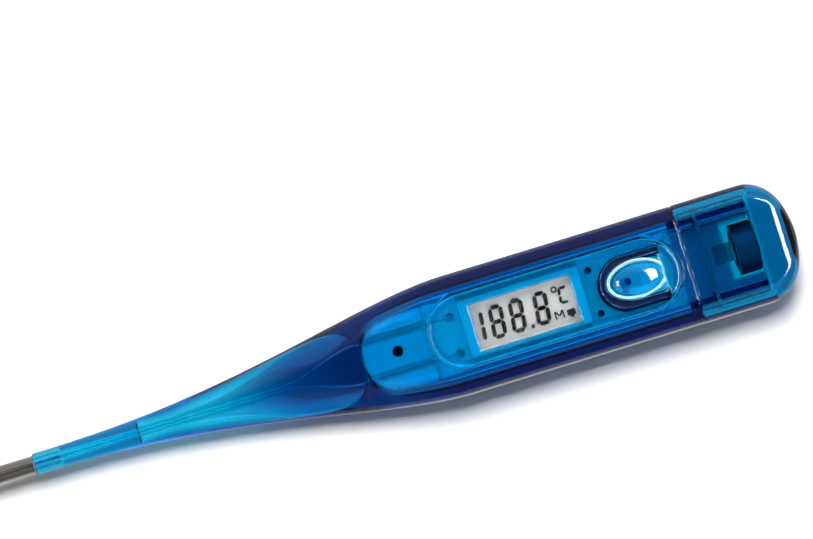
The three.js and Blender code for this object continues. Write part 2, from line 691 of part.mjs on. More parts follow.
// A dark wall that follows the slot round the tongue, open towards the root.
function buttonSeal() {
  const outer = plate(slotShape(SEAL_OVERLAP, SLOT_ROOT_X), BOARD_HIGH_Z, SEAL_HIGH_Z);
  const innerRadii = TONGUE_RADII.map((radius) => radius - SEAL_OVERLAP);
  const innerShape = tongueShape(BUTTON_X, innerRadii, SLOT_ROOT_X + 1);
  const inner = plate(innerShape, BOARD_HIGH_Z - 1, SEAL_HIGH_Z + 1);
  return carve([outer], [inner]);
}

function coilSpring(y, radius) {
  const [low, high] = SPRING_SPAN;
  const turns = 3;
  const perTurn = 8;
  const count = turns * perTurn;
  const points = [];
  for (let i = 0; i <= count; i += 1) {
    const angle = i / perTurn * Math.PI * 2;
    const z = low + (high - low) * i / count;
    points.push([BUZZER_X + radius * Math.cos(angle), y + radius * Math.sin(angle), z]);
  }
  return wire(points, SPRING_WIRE_RADIUS, count);
}

function buzzerLayer(layer, outer, inner = 0) {
  const [low, high] = BUZZER_LAYERS.slice(layer, layer + 2);
  if (inner > 0) return ringZ(BUZZER_X, 0, [low, high], [inner, outer]);
  return discZ(BUZZER_X, 0, low, high, outer);
}

// ---------------------------------------------------------------- probe tip

// The round end of the sleeve, from its point on the axis out to its full radius.
function roundEnd(tipX, radius) {
  const steps = 6;
  const points = [[tipX, 0]];
  for (let i = 1; i <= steps; i += 1) {
    const angle = i / steps * Math.PI / 2;
    points.push([tipX + radius * (1 - Math.cos(angle)), radius * Math.sin(angle)]);
  }
  return points;
}

function probeTip() {
  const inner = SLEEVE_RADIUS - SLEEVE_WALL;
  const outside = roundEnd(TIP_X, SLEEVE_RADIUS);
  const inside = roundEnd(TIP_X + SLEEVE_WALL, inner).reverse();
  const shoulderX = NOSE_X - SHOULDER_GAP;
  const shankInner = SHANK_RADIUS - SLEEVE_WALL;
  const shank = [[shoulderX, SLEEVE_RADIUS], [shoulderX, SHANK_RADIUS], [SLEEVE_END_X, SHANK_RADIUS],
    [SLEEVE_END_X, shankInner], [shoulderX - SLEEVE_WALL, shankInner], [shoulderX - SLEEVE_WALL, inner]];
  return turnedX([...outside, ...shank, ...inside], 0, NOSE_Z);
}

function tipEpoxy() {
  const outer = SLEEVE_RADIUS - SLEEVE_WALL - 0.05;
  const [start, end] = EPOXY_SPAN;
  return turnedX([[start, EPOXY_BORE], [start, outer], [end, outer], [end, EPOXY_BORE], [start, EPOXY_BORE]],
    0, NOSE_Z, 24);
}

function thermistorBead() {
  return new THREE.SphereGeometry(BEAD_RADIUS, 16, 10).scale(1.3, 1, 1).translate(BEAD_X, 0, NOSE_Z);
}

// From beside the bead, through the bore and the block's groove, and down to the board.
function leadWire(side) {
  const inBore = [-62.2, -52, -40, -28, -20, -17, -14, -11, -8, -5, -3].map((x) => {
    const { apart, z } = wirePlace(x);
    return [x, side * apart, z];
  });
  const toBoard = [[3, WIRE_HIGH_Z], [6.4, WIRE_HIGH_Z], [8.4, 6.25], [10.4, 5.8]];
  const route = [...inBore, ...toBoard.map(([x, z]) => [x, side * WIRE_FAR, z])];
  return wire(route, WIRE_RADIUS, 36);
}

// ---------------------------------------------------------------- front block

// Pale block that fills the hollow in front of the board, with a groove for each wire,
// a notch in each side and two rails that carry the board.
function innerChassis() {
  const start = CAVITY_START_X + BLOCK_GAP;
  const inset = (x) => {
    const hollow = hollowSection(x - BLOCK_GAP);
    return {
      x,
      halfWidth: hollow.halfWidth - BLOCK_GAP,
      low: hollow.low + BLOCK_GAP,
      high: BLOCK_HIGH_Z,
      radius: hollow.radius - BLOCK_GAP / 2,
    };
  };
  const places = [...ARCH_PLACES.map((x) => x + BLOCK_GAP), BLOCK_END_X];
  const block = loft(places.map(inset));
  const railLow = inset(start).low + 0.3;
  const rails = [-1, 1].map((side) => {
    const middle = side * RAIL_Y;
    return box([BLOCK_END_X - 2, BOARD_STEP_X], [middle - 0.6, middle + 0.6], [railLow, BOARD_LOW_Z]);
  });
  const grooves = [-WIRE_FAR, WIRE_FAR].map((y) => (
    box([start - 1, BLOCK_END_X + 1], [y - GROOVE_WIDTH / 2, y + GROOVE_WIDTH / 2], [GROOVE_Z, 9])));
  const notchY = inset(NOTCH_X).halfWidth;
  const notches = [-notchY, notchY].map((y) => discZ(NOTCH_X, y, 1, 9, 0.5, 12));
  const pinHole = discZ(PIN_X, PIN_Y, 1, 9, PIN_RADIUS + 0.1, 20);
  return carve([block, ...rails], [...grooves, ...notches, pinHole]);
}

// ---------------------------------------------------------------- cell and contacts

function cellCan() {
  const start = CELL_X + CELL_CORNER;
  const end = CELL_X + CELL_THICKNESS;
  const cupEnd = CELL_X + CUP_DEPTH;
  const inner = CELL_RADIUS - CAN_WALL;
  return turnedX([[end, 0], [end, CELL_RADIUS - CELL_CORNER], [end - CELL_CORNER, CELL_RADIUS],
    [start, CELL_RADIUS], [start, inner], [cupEnd, inner], [cupEnd, 0]], 0, MID_Z);
}

const GASKET_RADIUS = CELL_RADIUS - CAN_WALL - 0.05;

function cellGasket() {
  const start = CELL_X + CELL_CORNER;
  const end = CELL_X + CUP_DEPTH;
  const inner = GASKET_RADIUS - GASKET_WALL;
  return turnedX([[start, inner], [start, GASKET_RADIUS], [end, GASKET_RADIUS], [end, inner],
    [start, inner]], 0, MID_Z);
}

function cellNegativeCap() {
  const radius = GASKET_RADIUS - GASKET_WALL - 0.05;
  const corner = 0.3;
  const end = CELL_X + CUP_DEPTH;
  return turnedX([[CELL_X, 0], [CELL_X, radius - corner], [CELL_X + corner, radius], [end, radius],
    [end, 0]], 0, MID_Z);
}

// A foot on the board that turns up in front of the cell.
function negativeContact() {
  const face = CELL_X - CONTACT_GAP;
  const back = face - CONTACT_SHEET;
  const start = face - CONTACT_FOOT;
  const profile = new THREE.Shape();
  profile.moveTo(start, BOARD_HIGH_Z);
  profile.lineTo(face, BOARD_HIGH_Z);
  profile.lineTo(face, CONTACT_HIGH_Z);
  profile.lineTo(back, CONTACT_HIGH_Z);
  profile.lineTo(back, BOARD_HIGH_Z + CONTACT_SHEET);
  profile.lineTo(start, BOARD_HIGH_Z + CONTACT_SHEET);
  profile.closePath();
  const width = 3.0;
  const strip = new THREE.ExtrudeGeometry(profile, { depth: width, bevelEnabled: false });
  return strip.rotateX(Math.PI / 2).translate(0, width / 2, 0);
}

// A strip along the inside of the neck that turns in behind the flat face of the cell.
function positiveContact() {
  const start = 48.0;
  const tongueY = -1.5;
  const behind = CELL_X + CELL_THICKNESS + CONTACT_GAP;
  const outline = new THREE.Shape();
  outline.moveTo(start, CONTACT_Y - CONTACT_SHEET);
  outline.lineTo(behind, CONTACT_Y - CONTACT_SHEET);
  outline.lineTo(behind, tongueY);
  outline.lineTo(behind + CONTACT_SHEET, tongueY);
  outline.lineTo(behind + CONTACT_SHEET, CONTACT_Y);
  outline.lineTo(start, CONTACT_Y);
  outline.closePath();
  return plate(outline, BOARD_HIGH_Z, CONTACT_HIGH_Z);
}

// ---------------------------------------------------------------- the assembly

addNode('main_housing', 'bluePlastic', mainHousing());
addNode('display_panel', 'bluePlastic', displayPanel());
addNode('power_button', 'bluePlastic', powerButton());
addNode('battery_cap', 'bluePlastic', batteryCap());
addNode('display_lens', 'clearPlastic', displayLens());
addNode('cap_o_ring', 'blackRubber', capRing());

addNode('probe_tip', 'steel', probeTip());
addNode('thermistor_bead', 'glass', thermistorBead());
addNode('tip_epoxy', 'epoxy', tipEpoxy());
addNode('lead_wire_left', 'wireCoat', leadWire(1));
addNode('lead_wire_right', 'wireCoat', leadWire(-1));

addNode('inner_chassis', 'palePlastic', innerChassis());
addNode('chassis_pin', 'blackRubber', discZ(PIN_X, PIN_Y, 2.4, BLOCK_HIGH_Z + 0.1, PIN_RADIUS, 20));
addNode('circuit_board', 'board', circuitBoard());

addNode('lcd_front_polarizer', 'glass', glassPlate(GLASS_WIDTH - 1, FRONT_GLASS_HIGH_Z, POLARIZER_HIGH_Z));
addNode('lcd_front_glass', 'glass', glassPlate(GLASS_WIDTH, FRONT_GLASS_LOW_Z, FRONT_GLASS_HIGH_Z));
addNode('lcd_rear_glass', 'glass', glassPlate(REAR_GLASS_WIDTH, REAR_GLASS_LOW_Z, FRONT_GLASS_LOW_Z));
addNode('lcd_rear_reflector', 'reflector', glassPlate(REAR_GLASS_WIDTH, REFLECTOR_LOW_Z, REAR_GLASS_LOW_Z));
addNode('lcd_frame', 'palePlastic', displayFrame());
addNode('zebra_strip_left', 'blackRubber', zebraStrip(1));
addNode('zebra_strip_right', 'blackRubber', zebraStrip(-1));

addNode('chip_blob', 'epoxy', chipBlob());
addNode('reference_resistor', 'epoxy', surfaceChip(13.2, 0, 0.5));
addNode('bypass_capacitor', 'ceramic', surfaceChip(45.2, 2.4, 0.7));
addNode('timing_resistor', 'epoxy', surfaceChip(45.2, -2.4, 0.5));
addNode('solder_joint_left', 'solder', solderJoint(1));
addNode('solder_joint_right', 'solder', solderJoint(-1));

addNode('switch_dome', 'silicone', switchDome());
addNode('button_seal', 'blackRubber', buttonSeal());

addNode('buzzer_adhesive_ring', 'blackRubber', buzzerLayer(0, 4.6, 3.8));
addNode('buzzer_plate', 'brass', buzzerLayer(1, 4.75));
addNode('buzzer_ceramic', 'ceramic', buzzerLayer(2, 3.2));
addNode('buzzer_center_spring', 'nickel', coilSpring(0, 0.8));
addNode('buzzer_rim_spring', 'nickel', coilSpring(4.1, 0.45));

addNode('cell_can', 'nickel', cellCan());
addNode('cell_gasket', 'clearPlastic', cellGasket());
addNode('cell_negative_cap', 'nickel', cellNegativeCap());
addNode('positive_contact', 'nickel', positiveContact());
addNode('negative_contact', 'nickel', negativeContact());

export default group;
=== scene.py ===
"""Looks of a translucent digital thermometer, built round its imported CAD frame.

Metres in Blender, +X from the probe tip to the battery cap, +Z up out of the display.
Shapes are worked out in millimetres, as the design is, and scaled when a mesh is made.
"""

import json
import math

import bpy
from mathutils import Matrix, Vector


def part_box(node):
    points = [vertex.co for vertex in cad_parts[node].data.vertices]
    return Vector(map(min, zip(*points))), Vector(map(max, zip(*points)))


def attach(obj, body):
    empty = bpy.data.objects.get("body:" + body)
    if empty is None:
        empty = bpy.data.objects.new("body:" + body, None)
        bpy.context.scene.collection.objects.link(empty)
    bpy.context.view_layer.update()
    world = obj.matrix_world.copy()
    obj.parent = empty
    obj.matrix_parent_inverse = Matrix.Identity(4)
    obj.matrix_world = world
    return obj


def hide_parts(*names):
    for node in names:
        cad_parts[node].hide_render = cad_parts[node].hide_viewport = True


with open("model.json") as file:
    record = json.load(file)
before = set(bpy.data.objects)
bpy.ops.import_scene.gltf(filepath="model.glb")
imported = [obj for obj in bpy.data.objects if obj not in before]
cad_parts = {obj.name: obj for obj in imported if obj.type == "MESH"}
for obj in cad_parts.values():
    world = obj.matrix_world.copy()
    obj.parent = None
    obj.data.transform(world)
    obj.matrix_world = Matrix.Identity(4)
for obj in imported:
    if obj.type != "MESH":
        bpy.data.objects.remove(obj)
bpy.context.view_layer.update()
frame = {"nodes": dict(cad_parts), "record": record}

MM = 0.001


# ---------------- dimensions, many from the frame


def box_mm(node):
    low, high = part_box(node)
    return low / MM, high / MM


def plan_centre(low, high):
    """The middle of a box as seen from above."""
    return (low.x + high.x) / 2, (low.y + high.y) / 2


HOUSING_LOW, HOUSING_HIGH = box_mm("main_housing")
PANEL_LOW, PANEL_HIGH = box_mm("display_panel")
CAP_LOW, CAP_HIGH = box_mm("battery_cap")
LENS_LOW, LENS_HIGH = box_mm("display_lens")
TIP_LOW, TIP_HIGH = box_mm("probe_tip")
RING_LOW, RING_HIGH = box_mm("cap_o_ring")
CELL_LOW, CELL_HIGH = box_mm("cell_can")
BOARD_LOW, BOARD_HIGH = box_mm("circuit_board")

# The body: round at the nose, a bar with rounded edges from FULL_X to the seam.
TOP_Z = HOUSING_HIGH.z
MID_Z = TOP_Z / 2
BODY_HALF_WIDTH = HOUSING_HIGH.y
EDGE_RADIUS = 3.0
NOSE_X = HOUSING_LOW.x
NOSE_Z = (TIP_LOW.z + TIP_HIGH.z) / 2
NOSE_RADIUS = 1.65
NOSE_ROUND = 0.12
FULL_X = 10.8
SEAM_X = 47.3
SEAM_ROUND = 0.22
SWELL_IN = 2.38
SWELL_OUT = 1.82
SWELL_STEPS = 130
SQUARING = 3

# Its main cavity, which starts with an arch, and the nose's hollow, which flattens into a slit.
SIDE_WALL = 2.2
FLOOR_WALL = 1.2
TOP_WALL = 1.8
CAVITY_RADIUS = 2.2
CAVITY_START_X = -3.9
CAVITY_END_X = 45.9
ARCH_LENGTH = 4.0
ARCH_START_FILL = 0.5
ARCH_STEPS = 12
NOSE_HOLLOW_START_X = -39.7
NOSE_HOLLOW_FULL_X = -29.8
NOSE_HOLLOW_END_X = -4.5
NOSE_HOLLOW_WALL = 1.0
NOSE_HOLLOW_START_RADIUS = 1.4
NOSE_HOLLOW_ROUND = 0.35
SLIT_X = -13.0
SLIT_HALF_HEIGHT = 0.45
SLIT_END_LENGTH = 7.0
SLIT_END_FILL = 0.5

# The two wires: close together through the nose's bore, and apart at the board.
BORE_RADIUS = 0.45
NOSE_BORE_RADIUS = 0.7
WIRE_RADIUS = 0.13
WIRE_NEAR = 0.2
WIRE_FAR = 2.85
WIRE_HIGH_Z = 6.6
WIRE_START_X = -62.2
WIRE_SPREAD_START_X = -17.0
WIRE_SPREAD_END_X = -4.0
WIRE_BENDS = ((3, 6.6), (5.6, 6.6), (6.6, 6.57), (7.5, 6.45), (8.4, 6.25), (9.4, 6.02), (10.4, 5.8))

# The neck that the cap slides over, with the sealing ring's groove and the cell's slot.
NECK_START_X = 45.0
NECK_END_X = HOUSING_HIGH.x
NECK_HALF_WIDTH = 7.55
NECK_LOW_Z = 1.5
NECK_HIGH_Z = 9.1
NECK_RADIUS = 0.7
NECK_ROUND = 0.3
NECK_INNER_RADIUS = 0.5
NECK_INNER_HALF_WIDTH = 5.85
NECK_WALL_Z = 1.4
RING_DEPTH = 0.3
RING_GAP = 0.1
RING_PROUD = 0.15
CELL_SLOT_X = 53.5
CELL_SLOT_HALF_WIDTH = 4.4

# The cap, and its hollow, which narrows at a step.
CAP_END_X = CAP_HIGH.x
CAP_END_LENGTH = 6.5
CAP_END_START_X = CAP_END_X - CAP_END_LENGTH
CAP_END_DEPTH = 8.25
CAP_MOUTH_ROUND = 0.18
CAP_INNER_HALF_WIDTH = 8.1
CAP_INNER_END_DEPTH = 4.2
CAP_INNER_END_X = 62.8
CAP_INNER_RADIUS = 1.8
CAP_WALL_Z = 1.15
CAP_END_WALL_Z = 2.0
CAP_STEP_X = 58.8
CAP_STEP_END_X = 58.95

# The display panel in its rebate, and its window.
PANEL_CENTRE = plan_centre(PANEL_LOW, PANEL_HIGH)
PANEL_LENGTH = PANEL_HIGH.x - PANEL_LOW.x
PANEL_WIDTH = PANEL_HIGH.y - PANEL_LOW.y
PANEL_BOTTOM_Z = 9.2
PANEL_ROUND = 0.4
PANEL_GAP = 0.15
REBATE_FLARE = 0.5
LEDGE_WIDTH = 1.1
WINDOW_CENTRE = ((LENS_LOW.x + LENS_HIGH.x) / 2, 0)
WINDOW_LENGTH = 15.8
WINDOW_WIDTH = 7.3
WINDOW_FLARE = 0.3
SEAT = 0.03

# The button: a tongue with an oval ring round a dome, in a U-shaped slot of the panel.
BUTTON_CENTRE = (39.3, 0)
BUTTON_ROOT_X = 43.4
TONGUE_RADII = (5.0, 3.15)
TONGUE_ROUND = 0.12
BUTTON_RING_RADII = (4.75, 3.0)
BUTTON_RING_WIDTH = 0.5
BUTTON_RING_HEIGHT = 0.3
BUTTON_RING_ROUND = 0.22
BUTTON_RING_INNER_ROUND = 0.2
BUTTON_DOME_RADII = (3.95, 2.3)
DOME_LAST_ANGLE = math.pi / 2 * 0.985
BUTTON_SINK = 0.3
# How far above the panel, and how far out towards the ring, the ring's painted highlight starts.
RING_HIGHLIGHT_ABOVE = 0.04
RING_HIGHLIGHT_REACH = 0.8
SLOT_ROOT_X = 43.7
SLOT_BEND_X = 37.6
SLOT_HALF_WIDTH = 3.9
STEM_X = 37.9
STEM_LOW_Z = box_mm("power_button")[0].z
LOCATING_PIN_X = 32.6
LOCATING_PIN_Y = 3.4
LOCATING_PIN_LOW_Z = 6.4
PEG_RADIUS = 0.5
PEG_HIGH_Z = PANEL_BOTTOM_Z + SEAT + 0.2

# The probe's sleeve, and the socket for it in the nose.
SOCKET_END_X = -51.8
SOCKET_RADIUS = 1.07
SLEEVE_WALL = 0.15
SLEEVE_ROUND = 0.12
SHOULDER_GAP = 0.05
SHANK_RADIUS = 1.0

# The parts inside.
BLOCK_GAP = 0.3
BLOCK_END_X = 6.4
BLOCK_HIGH_Z = 7.6
GROOVE_Z = 6.0
GROOVE_WIDTH = 1.36
NOTCH_X = 0.25
NOTCH_RADIUS = 0.5
RAIL_Y = 5.7
RAIL_HALF_WIDTH = 0.6
PIN_CENTRE = (1.6, 0.15)
PIN_RADIUS = 0.75
PIN_ROUND = 0.15
FRAME_WALL = 0.6
FRAME_LIP_Z = 0.15
BOARD_STEP_X = 45.3
BOARD_TAIL_HALF_WIDTH = 5.2
SPRING_WIRE_RADIUS = 0.12
SPRING_TURNS = 3
CAN_WALL = 0.25
CAN_ROUND = 0.3
CAN_RECESS = 1.4
CHIP_EDGES = (0.06, 0.0, 0.08)  # edge, seat and corner of a surface chip

PAST = 1  # how far a cutter runs on past the face that it opens
AXIS_RADIUS = 0.01  # the least radius of a turned profile


# ---------------- numbers along a line


def lerp(a, b, part):
    return a + (b - a) * part


def part_way(x, start, end):
    """How far x has come from start to end, between 0 and 1."""
    return min(max((x - start) / (end - start), 0.0), 1.0)


def smoothstep(x, low, high):
    part = part_way(x, low, high)
    return part * part * (3 - 2 * part)


def fall(part):
    """How far a quarter circle has fallen, part of the way along it."""
    return 1 - math.sqrt(1 - part ** 2)


def spaced(start, end, count):
    return [lerp(start, end, i / count) for i in range(count + 1)]


def quarter_turn(steps):
    return spaced(0, math.pi / 2, steps)


def crowded(start, end, count):
    """Places that crowd together towards the end, as the points of a quarter circle do."""
    return [lerp(start, end, math.sin(a)) for a in quarter_turn(count)[:-1]] + [end]


def crowded_from(start, length, count):
    """Places that crowd together at the start, as the points of a quarter circle do."""
    return [start + length * (1 - math.cos(a)) for a in quarter_turn(count)]


def fillet(radius, steps):
    """A quarter circle as pairs of set-backs, from (0, radius) to (radius, 0)."""
    return [(radius * (1 - math.cos(a)), radius * (1 - math.sin(a))) for a in quarter_turn(steps)]


# ---------------- mesh helpers


def add_object(name, data):
    obj = bpy.data.objects.new(name, data)
    bpy.context.scene.collection.objects.link(obj)
    return obj


def new_object(name, verts, faces):
    """A mesh object from points in millimetres."""
    mesh = bpy.data.meshes.new(name)
    mesh.from_pydata([Vector(v) * MM for v in verts], [], faces)
    mesh.validate()
    mesh.update()
    return add_object(name, mesh)


def skin(rings, closed=False):
    """Quads between rings of points, with a face at each end unless they close on themselves."""
    count = len(rings[0])
    last = len(rings)
    verts = [point for one in rings for point in one]
    faces = []
    for i in range(last if closed else last - 1):
        here, there = i * count, (i + 1) % last * count
        for j in range(count):
            k = (j + 1) % count
            faces.append((here + j, here + k, there + k, there + j))
    if not closed:
        faces.append(tuple(reversed(range(count))))
        faces.append(tuple(range((last - 1) * count, last * count)))
    return verts, faces


def take_result(obj):
    """Applies every modifier on obj."""
    bpy.context.view_layer.update()
    graph = bpy.context.evaluated_depsgraph_get()
    mesh = bpy.data.meshes.new_from_object(obj.evaluated_get(graph), depsgraph=graph)
    old = obj.data
    obj.modifiers.clear()
    obj.data = mesh
    bpy.data.meshes.remove(old)


def carve(name, joined, removed=(), kept=()):
    """Joins the first list, cuts the second away and keeps what lies in the third.

    All of them are used up."""
    obj = joined[0]
    steps = [(other, "UNION") for other in joined[1:]]
    steps += [(other, "DIFFERENCE") for other in removed]
    steps += [(other, "INTERSECT") for other in kept]
    for other, operation in steps:
        modifier = obj.modifiers.new("carve", "BOOLEAN")
        modifier.solver = "MANIFOLD"
        modifier.operation = operation
        modifier.object = other
        take_result(obj)
        bpy.data.objects.remove(other)
    obj.name = name
    obj.data.name = name
    return obj


def smooth(obj, degrees=32):
    """Smooth shading that keeps flat faces flat and edges sharper than the angle crisp."""
    obj.data.shade_smooth()
    obj.data.set_sharp_from_angle(angle=math.radians(degrees))
    weighted = obj.modifiers.new("weighted", "WEIGHTED_NORMAL")
    weighted.keep_sharp = True
    weighted.mode = "FACE_AREA"
    take_result(obj)
    return obj


def bevel(obj, width_mm, segments=2, degrees=40):
    modifier = obj.modifiers.new("bevel", "BEVEL")
    modifier.width = width_mm * MM
    modifier.segments = segments
    modifier.limit_method = "ANGLE"
    modifier.angle_limit = math.radians(degrees)
    take_result(obj)
    return obj


def fix_normals(obj):
    """Turns the faces outward when the mesh's volume comes out negative."""
    mesh = obj.data
    mesh.calc_loop_triangles()
    volume = 0.0
    for triangle in mesh.loop_triangles:
        a, b, c = (mesh.vertices[i].co for i in triangle.vertices)
        volume += a.dot(b.cross(c))
    if volume < 0:
        mesh.flip_normals()
    return obj


# ---------------- outlines and solids

CORNER_STEPS = 12
FULLEST_CORNER = 0.97


def section_ring(section):
    """Points round a rounded rectangle across X: x, half width, low, high, and the corner's height
    and width, which are alike when only one is given."""
    x, half_width, low, high, radius = section[:5]
    across = section[5] if len(section) > 5 else radius
    across = min(across, half_width * FULLEST_CORNER)
    rise = min(radius, (high - low) / 2 * FULLEST_CORNER)
    corners = (
        (half_width - across, high - rise),
        (across - half_width, high - rise),
        (across - half_width, low + rise),
        (half_width - across, low + rise),
    )
    points = []
    for quarter, (y, z) in enumerate(corners):
        for step in range(CORNER_STEPS + 1):
            angle = (quarter + step / CORNER_STEPS) * math.pi / 2
            points.append((x, y + across * math.cos(angle), z + rise * math.sin(angle)))
    return points


def loft(name, sections):
    return new_object(name, *skin([section_ring(section) for section in sections]))


def bar(name, from_x, to_x, half_width, low, high, radius):
    return loft(name, [(x, half_width, low, high, radius) for x in (from_x, to_x)])


def rounded_end(x, inward, radius, section, steps=5):
    """Sections that round the end of a bar, which is full sized one radius inward from x."""
    _, half_width, low, high, *corner = section
    return [(x + inward * along, half_width - inset, low + inset, high - inset, *corner)
            for along, inset in fillet(radius, steps)]


def arc(centre, radii, start, end, steps):
    angles = [math.radians(degrees) for degrees in spaced(start, end, steps)]
    x, y = centre
    return [(x + radii[0] * math.cos(a), y + radii[1] * math.sin(a)) for a in angles]


def stadium(centre, length, width, steps=32):
    def outline(grow):
        radius = width / 2 + grow
        reach = (length - width) / 2
        right = arc((centre[0] + reach, centre[1]), (radius, radius), -90, 90, steps)
        left = arc((centre[0] - reach, centre[1]), (radius, radius), 90, 270, steps)
        return right + left
    return outline


def rectangle(centre, length, width, corner, steps=6):
    def outline(grow):
        half_x, half_y = length / 2 + grow, width / 2 + grow
        radius = max(corner + grow, 0.02)
        points = []
        for quarter, (sx, sy) in enumerate(((1, 1), (-1, 1), (-1, -1), (1, -1))):
            middle = (centre[0] + sx * (half_x - radius), centre[1] + sy * (half_y - radius))
            points += arc(middle, (radius, radius), quarter * 90, quarter * 90 + 90, steps)
        return points
    return outline


def tongue(bend_x, radii, root_x, steps=40):
    """Straight sides from the root, closed by half an ellipse at the free end."""
    def outline(grow):
        radius_x, radius_y = radii[0] + grow, radii[1] + grow
        bend = arc((bend_x, 0), (radius_x, radius_y), 90, 270, steps)
        return [(root_x + grow, -radius_y), (root_x + grow, radius_y)] + bend
    return outline


def ellipse(centre, radii, steps=72):
    def outline(grow):
        grown = (radii[0] + grow, radii[1] + grow)
        return arc(centre, grown, 0, 360 - 360 / steps, steps - 1)
    return outline


def stack(name, outline, levels):
    """A solid whose outline is grown or shrunk at each level: levels are (z, grow), rising."""
    return new_object(name, *skin([[(x, y, z) for x, y in outline(grow)] for z, grow in levels]))


def plate_levels(low, high, top=0.0, bottom=0.0, steps=5):
    """Levels of a plate with its top and bottom edges rounded."""
    below = [(low + along, -inset) for along, inset in fillet(bottom, steps)]
    above = [(high - inset, -along) for along, inset in fillet(top, steps)]
    return (below if bottom else [(low, 0)]) + (above if top else [(high, 0)])


def cutter_levels(low, high, flare, steps=5):
    """Levels of a cutter that leaves its upper rim rounded by flare at height high."""
    rim = [(high - inset, along) for along, inset in fillet(flare, steps)]
    return [(low, 0)] + rim + [(high + PAST, flare + 0.01)]


def slab(name, x_span, y_span, z_span, corner=0.05):
    centre = (sum(x_span) / 2, sum(y_span) / 2)
    outline = rectangle(centre, x_span[1] - x_span[0], y_span[1] - y_span[0], corner, 2)
    return stack(name, outline, [(z, 0) for z in z_span])


def turned(name, profile, axis="X", centre=(0, 0), steps=64, closed=False):
    """A solid of revolution about a line through centre: profile is (along, radius).

    A closed profile is one that comes back to its start away from the axis."""
    rings = []
    for along, radius in profile:
        ring = []
        for step in range(steps):
            angle = step / steps * math.tau
            u, v = centre[0] + radius * math.cos(angle), centre[1] + radius * math.sin(angle)
            ring.append((along, u, v) if axis == "X" else (u, v, along))
        rings.append(ring)
    return fix_normals(new_object(name, *skin(rings, closed)))


def turned_edge(end, radius, corner, steps):
    """Profile points of a rounded outer edge, up to the face at end."""
    return [(end - inset, radius - along) for along, inset in fillet(corner, steps)]


def peg(name, low, centre, chamfer):
    """A thin round peg up to the underside of the panel."""
    profile = [(low, PEG_RADIUS - chamfer), (low + chamfer, PEG_RADIUS), (PEG_HIGH_Z, PEG_RADIUS)]
    return turned(name, profile, "Z", centre, 32)


def tube(name, points, radius, steps=14):
    """A round bar along a line of points."""
    points = [Vector(point) for point in points]
    rings, side = [], None
    for i, point in enumerate(points):
        along = (points[min(i + 1, len(points) - 1)] - points[max(i - 1, 0)]).normalized()
        side = along.orthogonal() if side is None else side - along * side.dot(along)
        side.normalize()
        up = along.cross(side)
        rings.append([point + (side * math.cos(a) + up * math.sin(a)) * radius
                      for a in spaced(0, math.tau, steps)[:-1]])
    return smooth(fix_normals(new_object(name, *skin(rings))), 50)


# ---------------- sections of the body and the cap


def body_section(x):
    """Widens from the round nose to the full bar, whose edges square up last."""
    part = 1 - (1 - part_way(x, NOSE_X, FULL_X) ** SWELL_IN) ** SWELL_OUT
    half_width = lerp(NOSE_RADIUS, BODY_HALF_WIDTH, part)
    half_height = lerp(NOSE_RADIUS, MID_Z, part)
    middle = lerp(NOSE_Z, MID_Z, part)
    squared = part ** SQUARING
    rise, across = lerp(half_height, EDGE_RADIUS, squared), lerp(half_width, EDGE_RADIUS, squared)
    return (x, half_width, middle - half_height, middle + half_height, rise, across)


def hollow_section(x):
    _, half_width, low, high = body_section(x)[:4]
    into = part_way(x, CAVITY_START_X, CAVITY_START_X + ARCH_LENGTH)
    fill = lerp(1.0, ARCH_START_FILL, fall(1 - into))
    return (x, (half_width - SIDE_WALL) * fill, low + FLOOR_WALL, high - TOP_WALL, CAVITY_RADIUS)


def wire_place(x):
    """How far each wire lies from the middle, and its height."""
    spread = smoothstep(x, WIRE_SPREAD_START_X, WIRE_SPREAD_END_X)
    return lerp(WIRE_NEAR, WIRE_FAR, spread), lerp(NOSE_Z, WIRE_HIGH_Z, spread)


def nose_hollow_section(x):
    _, outer_width, low, high = body_section(x)[:4]
    opened = smoothstep(x, NOSE_HOLLOW_START_X, NOSE_HOLLOW_FULL_X)
    flattened = smoothstep(x, NOSE_HOLLOW_FULL_X, SLIT_X)
    full_height = (high - low) / 2 - NOSE_HOLLOW_WALL
    height = lerp(min(NOSE_HOLLOW_START_RADIUS, full_height), full_height, opened)
    height = lerp(height, SLIT_HALF_HEIGHT, flattened)
    into_end = part_way(x, NOSE_HOLLOW_END_X - SLIT_END_LENGTH, NOSE_HOLLOW_END_X)
    fill = lerp(1, SLIT_END_FILL, fall(into_end))
    width = lerp(NOSE_HOLLOW_START_RADIUS, outer_width - NOSE_HOLLOW_WALL, opened) * fill
    middle = lerp((low + high) / 2, wire_place(x)[1], flattened)
    return (x, width, middle - height, middle + height, height)


def bore_section(x):
    apart, z = wire_place(x)
    narrowed = part_way(x, SOCKET_END_X, WIRE_SPREAD_START_X)
    radius = lerp(NOSE_BORE_RADIUS, BORE_RADIUS, narrowed)
    return (x, radius + apart - WIRE_NEAR, z - radius, z + radius, radius)


def cap_section(x):
    half_width = CAP_HIGH.y - CAP_END_DEPTH * fall(part_way(x, CAP_END_START_X, CAP_END_X))
    half_height = MID_Z - EDGE_RADIUS * fall(part_way(x, CAP_END_X - EDGE_RADIUS, CAP_END_X))
    return (x, half_width, MID_Z - half_height, MID_Z + half_height, EDGE_RADIUS)


def cap_hollow_section(x):
    bend = CAP_INNER_END_DEPTH * fall(part_way(x, CAP_END_START_X, CAP_INNER_END_X))
    wall = lerp(CAP_WALL_Z, CAP_END_WALL_Z, part_way(x, CAP_STEP_X, CAP_STEP_END_X))
    return (x, CAP_INNER_HALF_WIDTH - bend, wall, TOP_Z - wall, CAP_INNER_RADIUS)


# ---------------- materials

GRAIN = 900.0
RIPPLE = 160.0
RIPPLE_MM = 0.05
MATERIALS = {}


def new_material(name):
    material = MATERIALS[name] = bpy.data.materials.new(name)
    material.use_nodes = True
    nodes = material.node_tree.nodes
    return nodes, material.node_tree.links, nodes["Principled BSDF"]


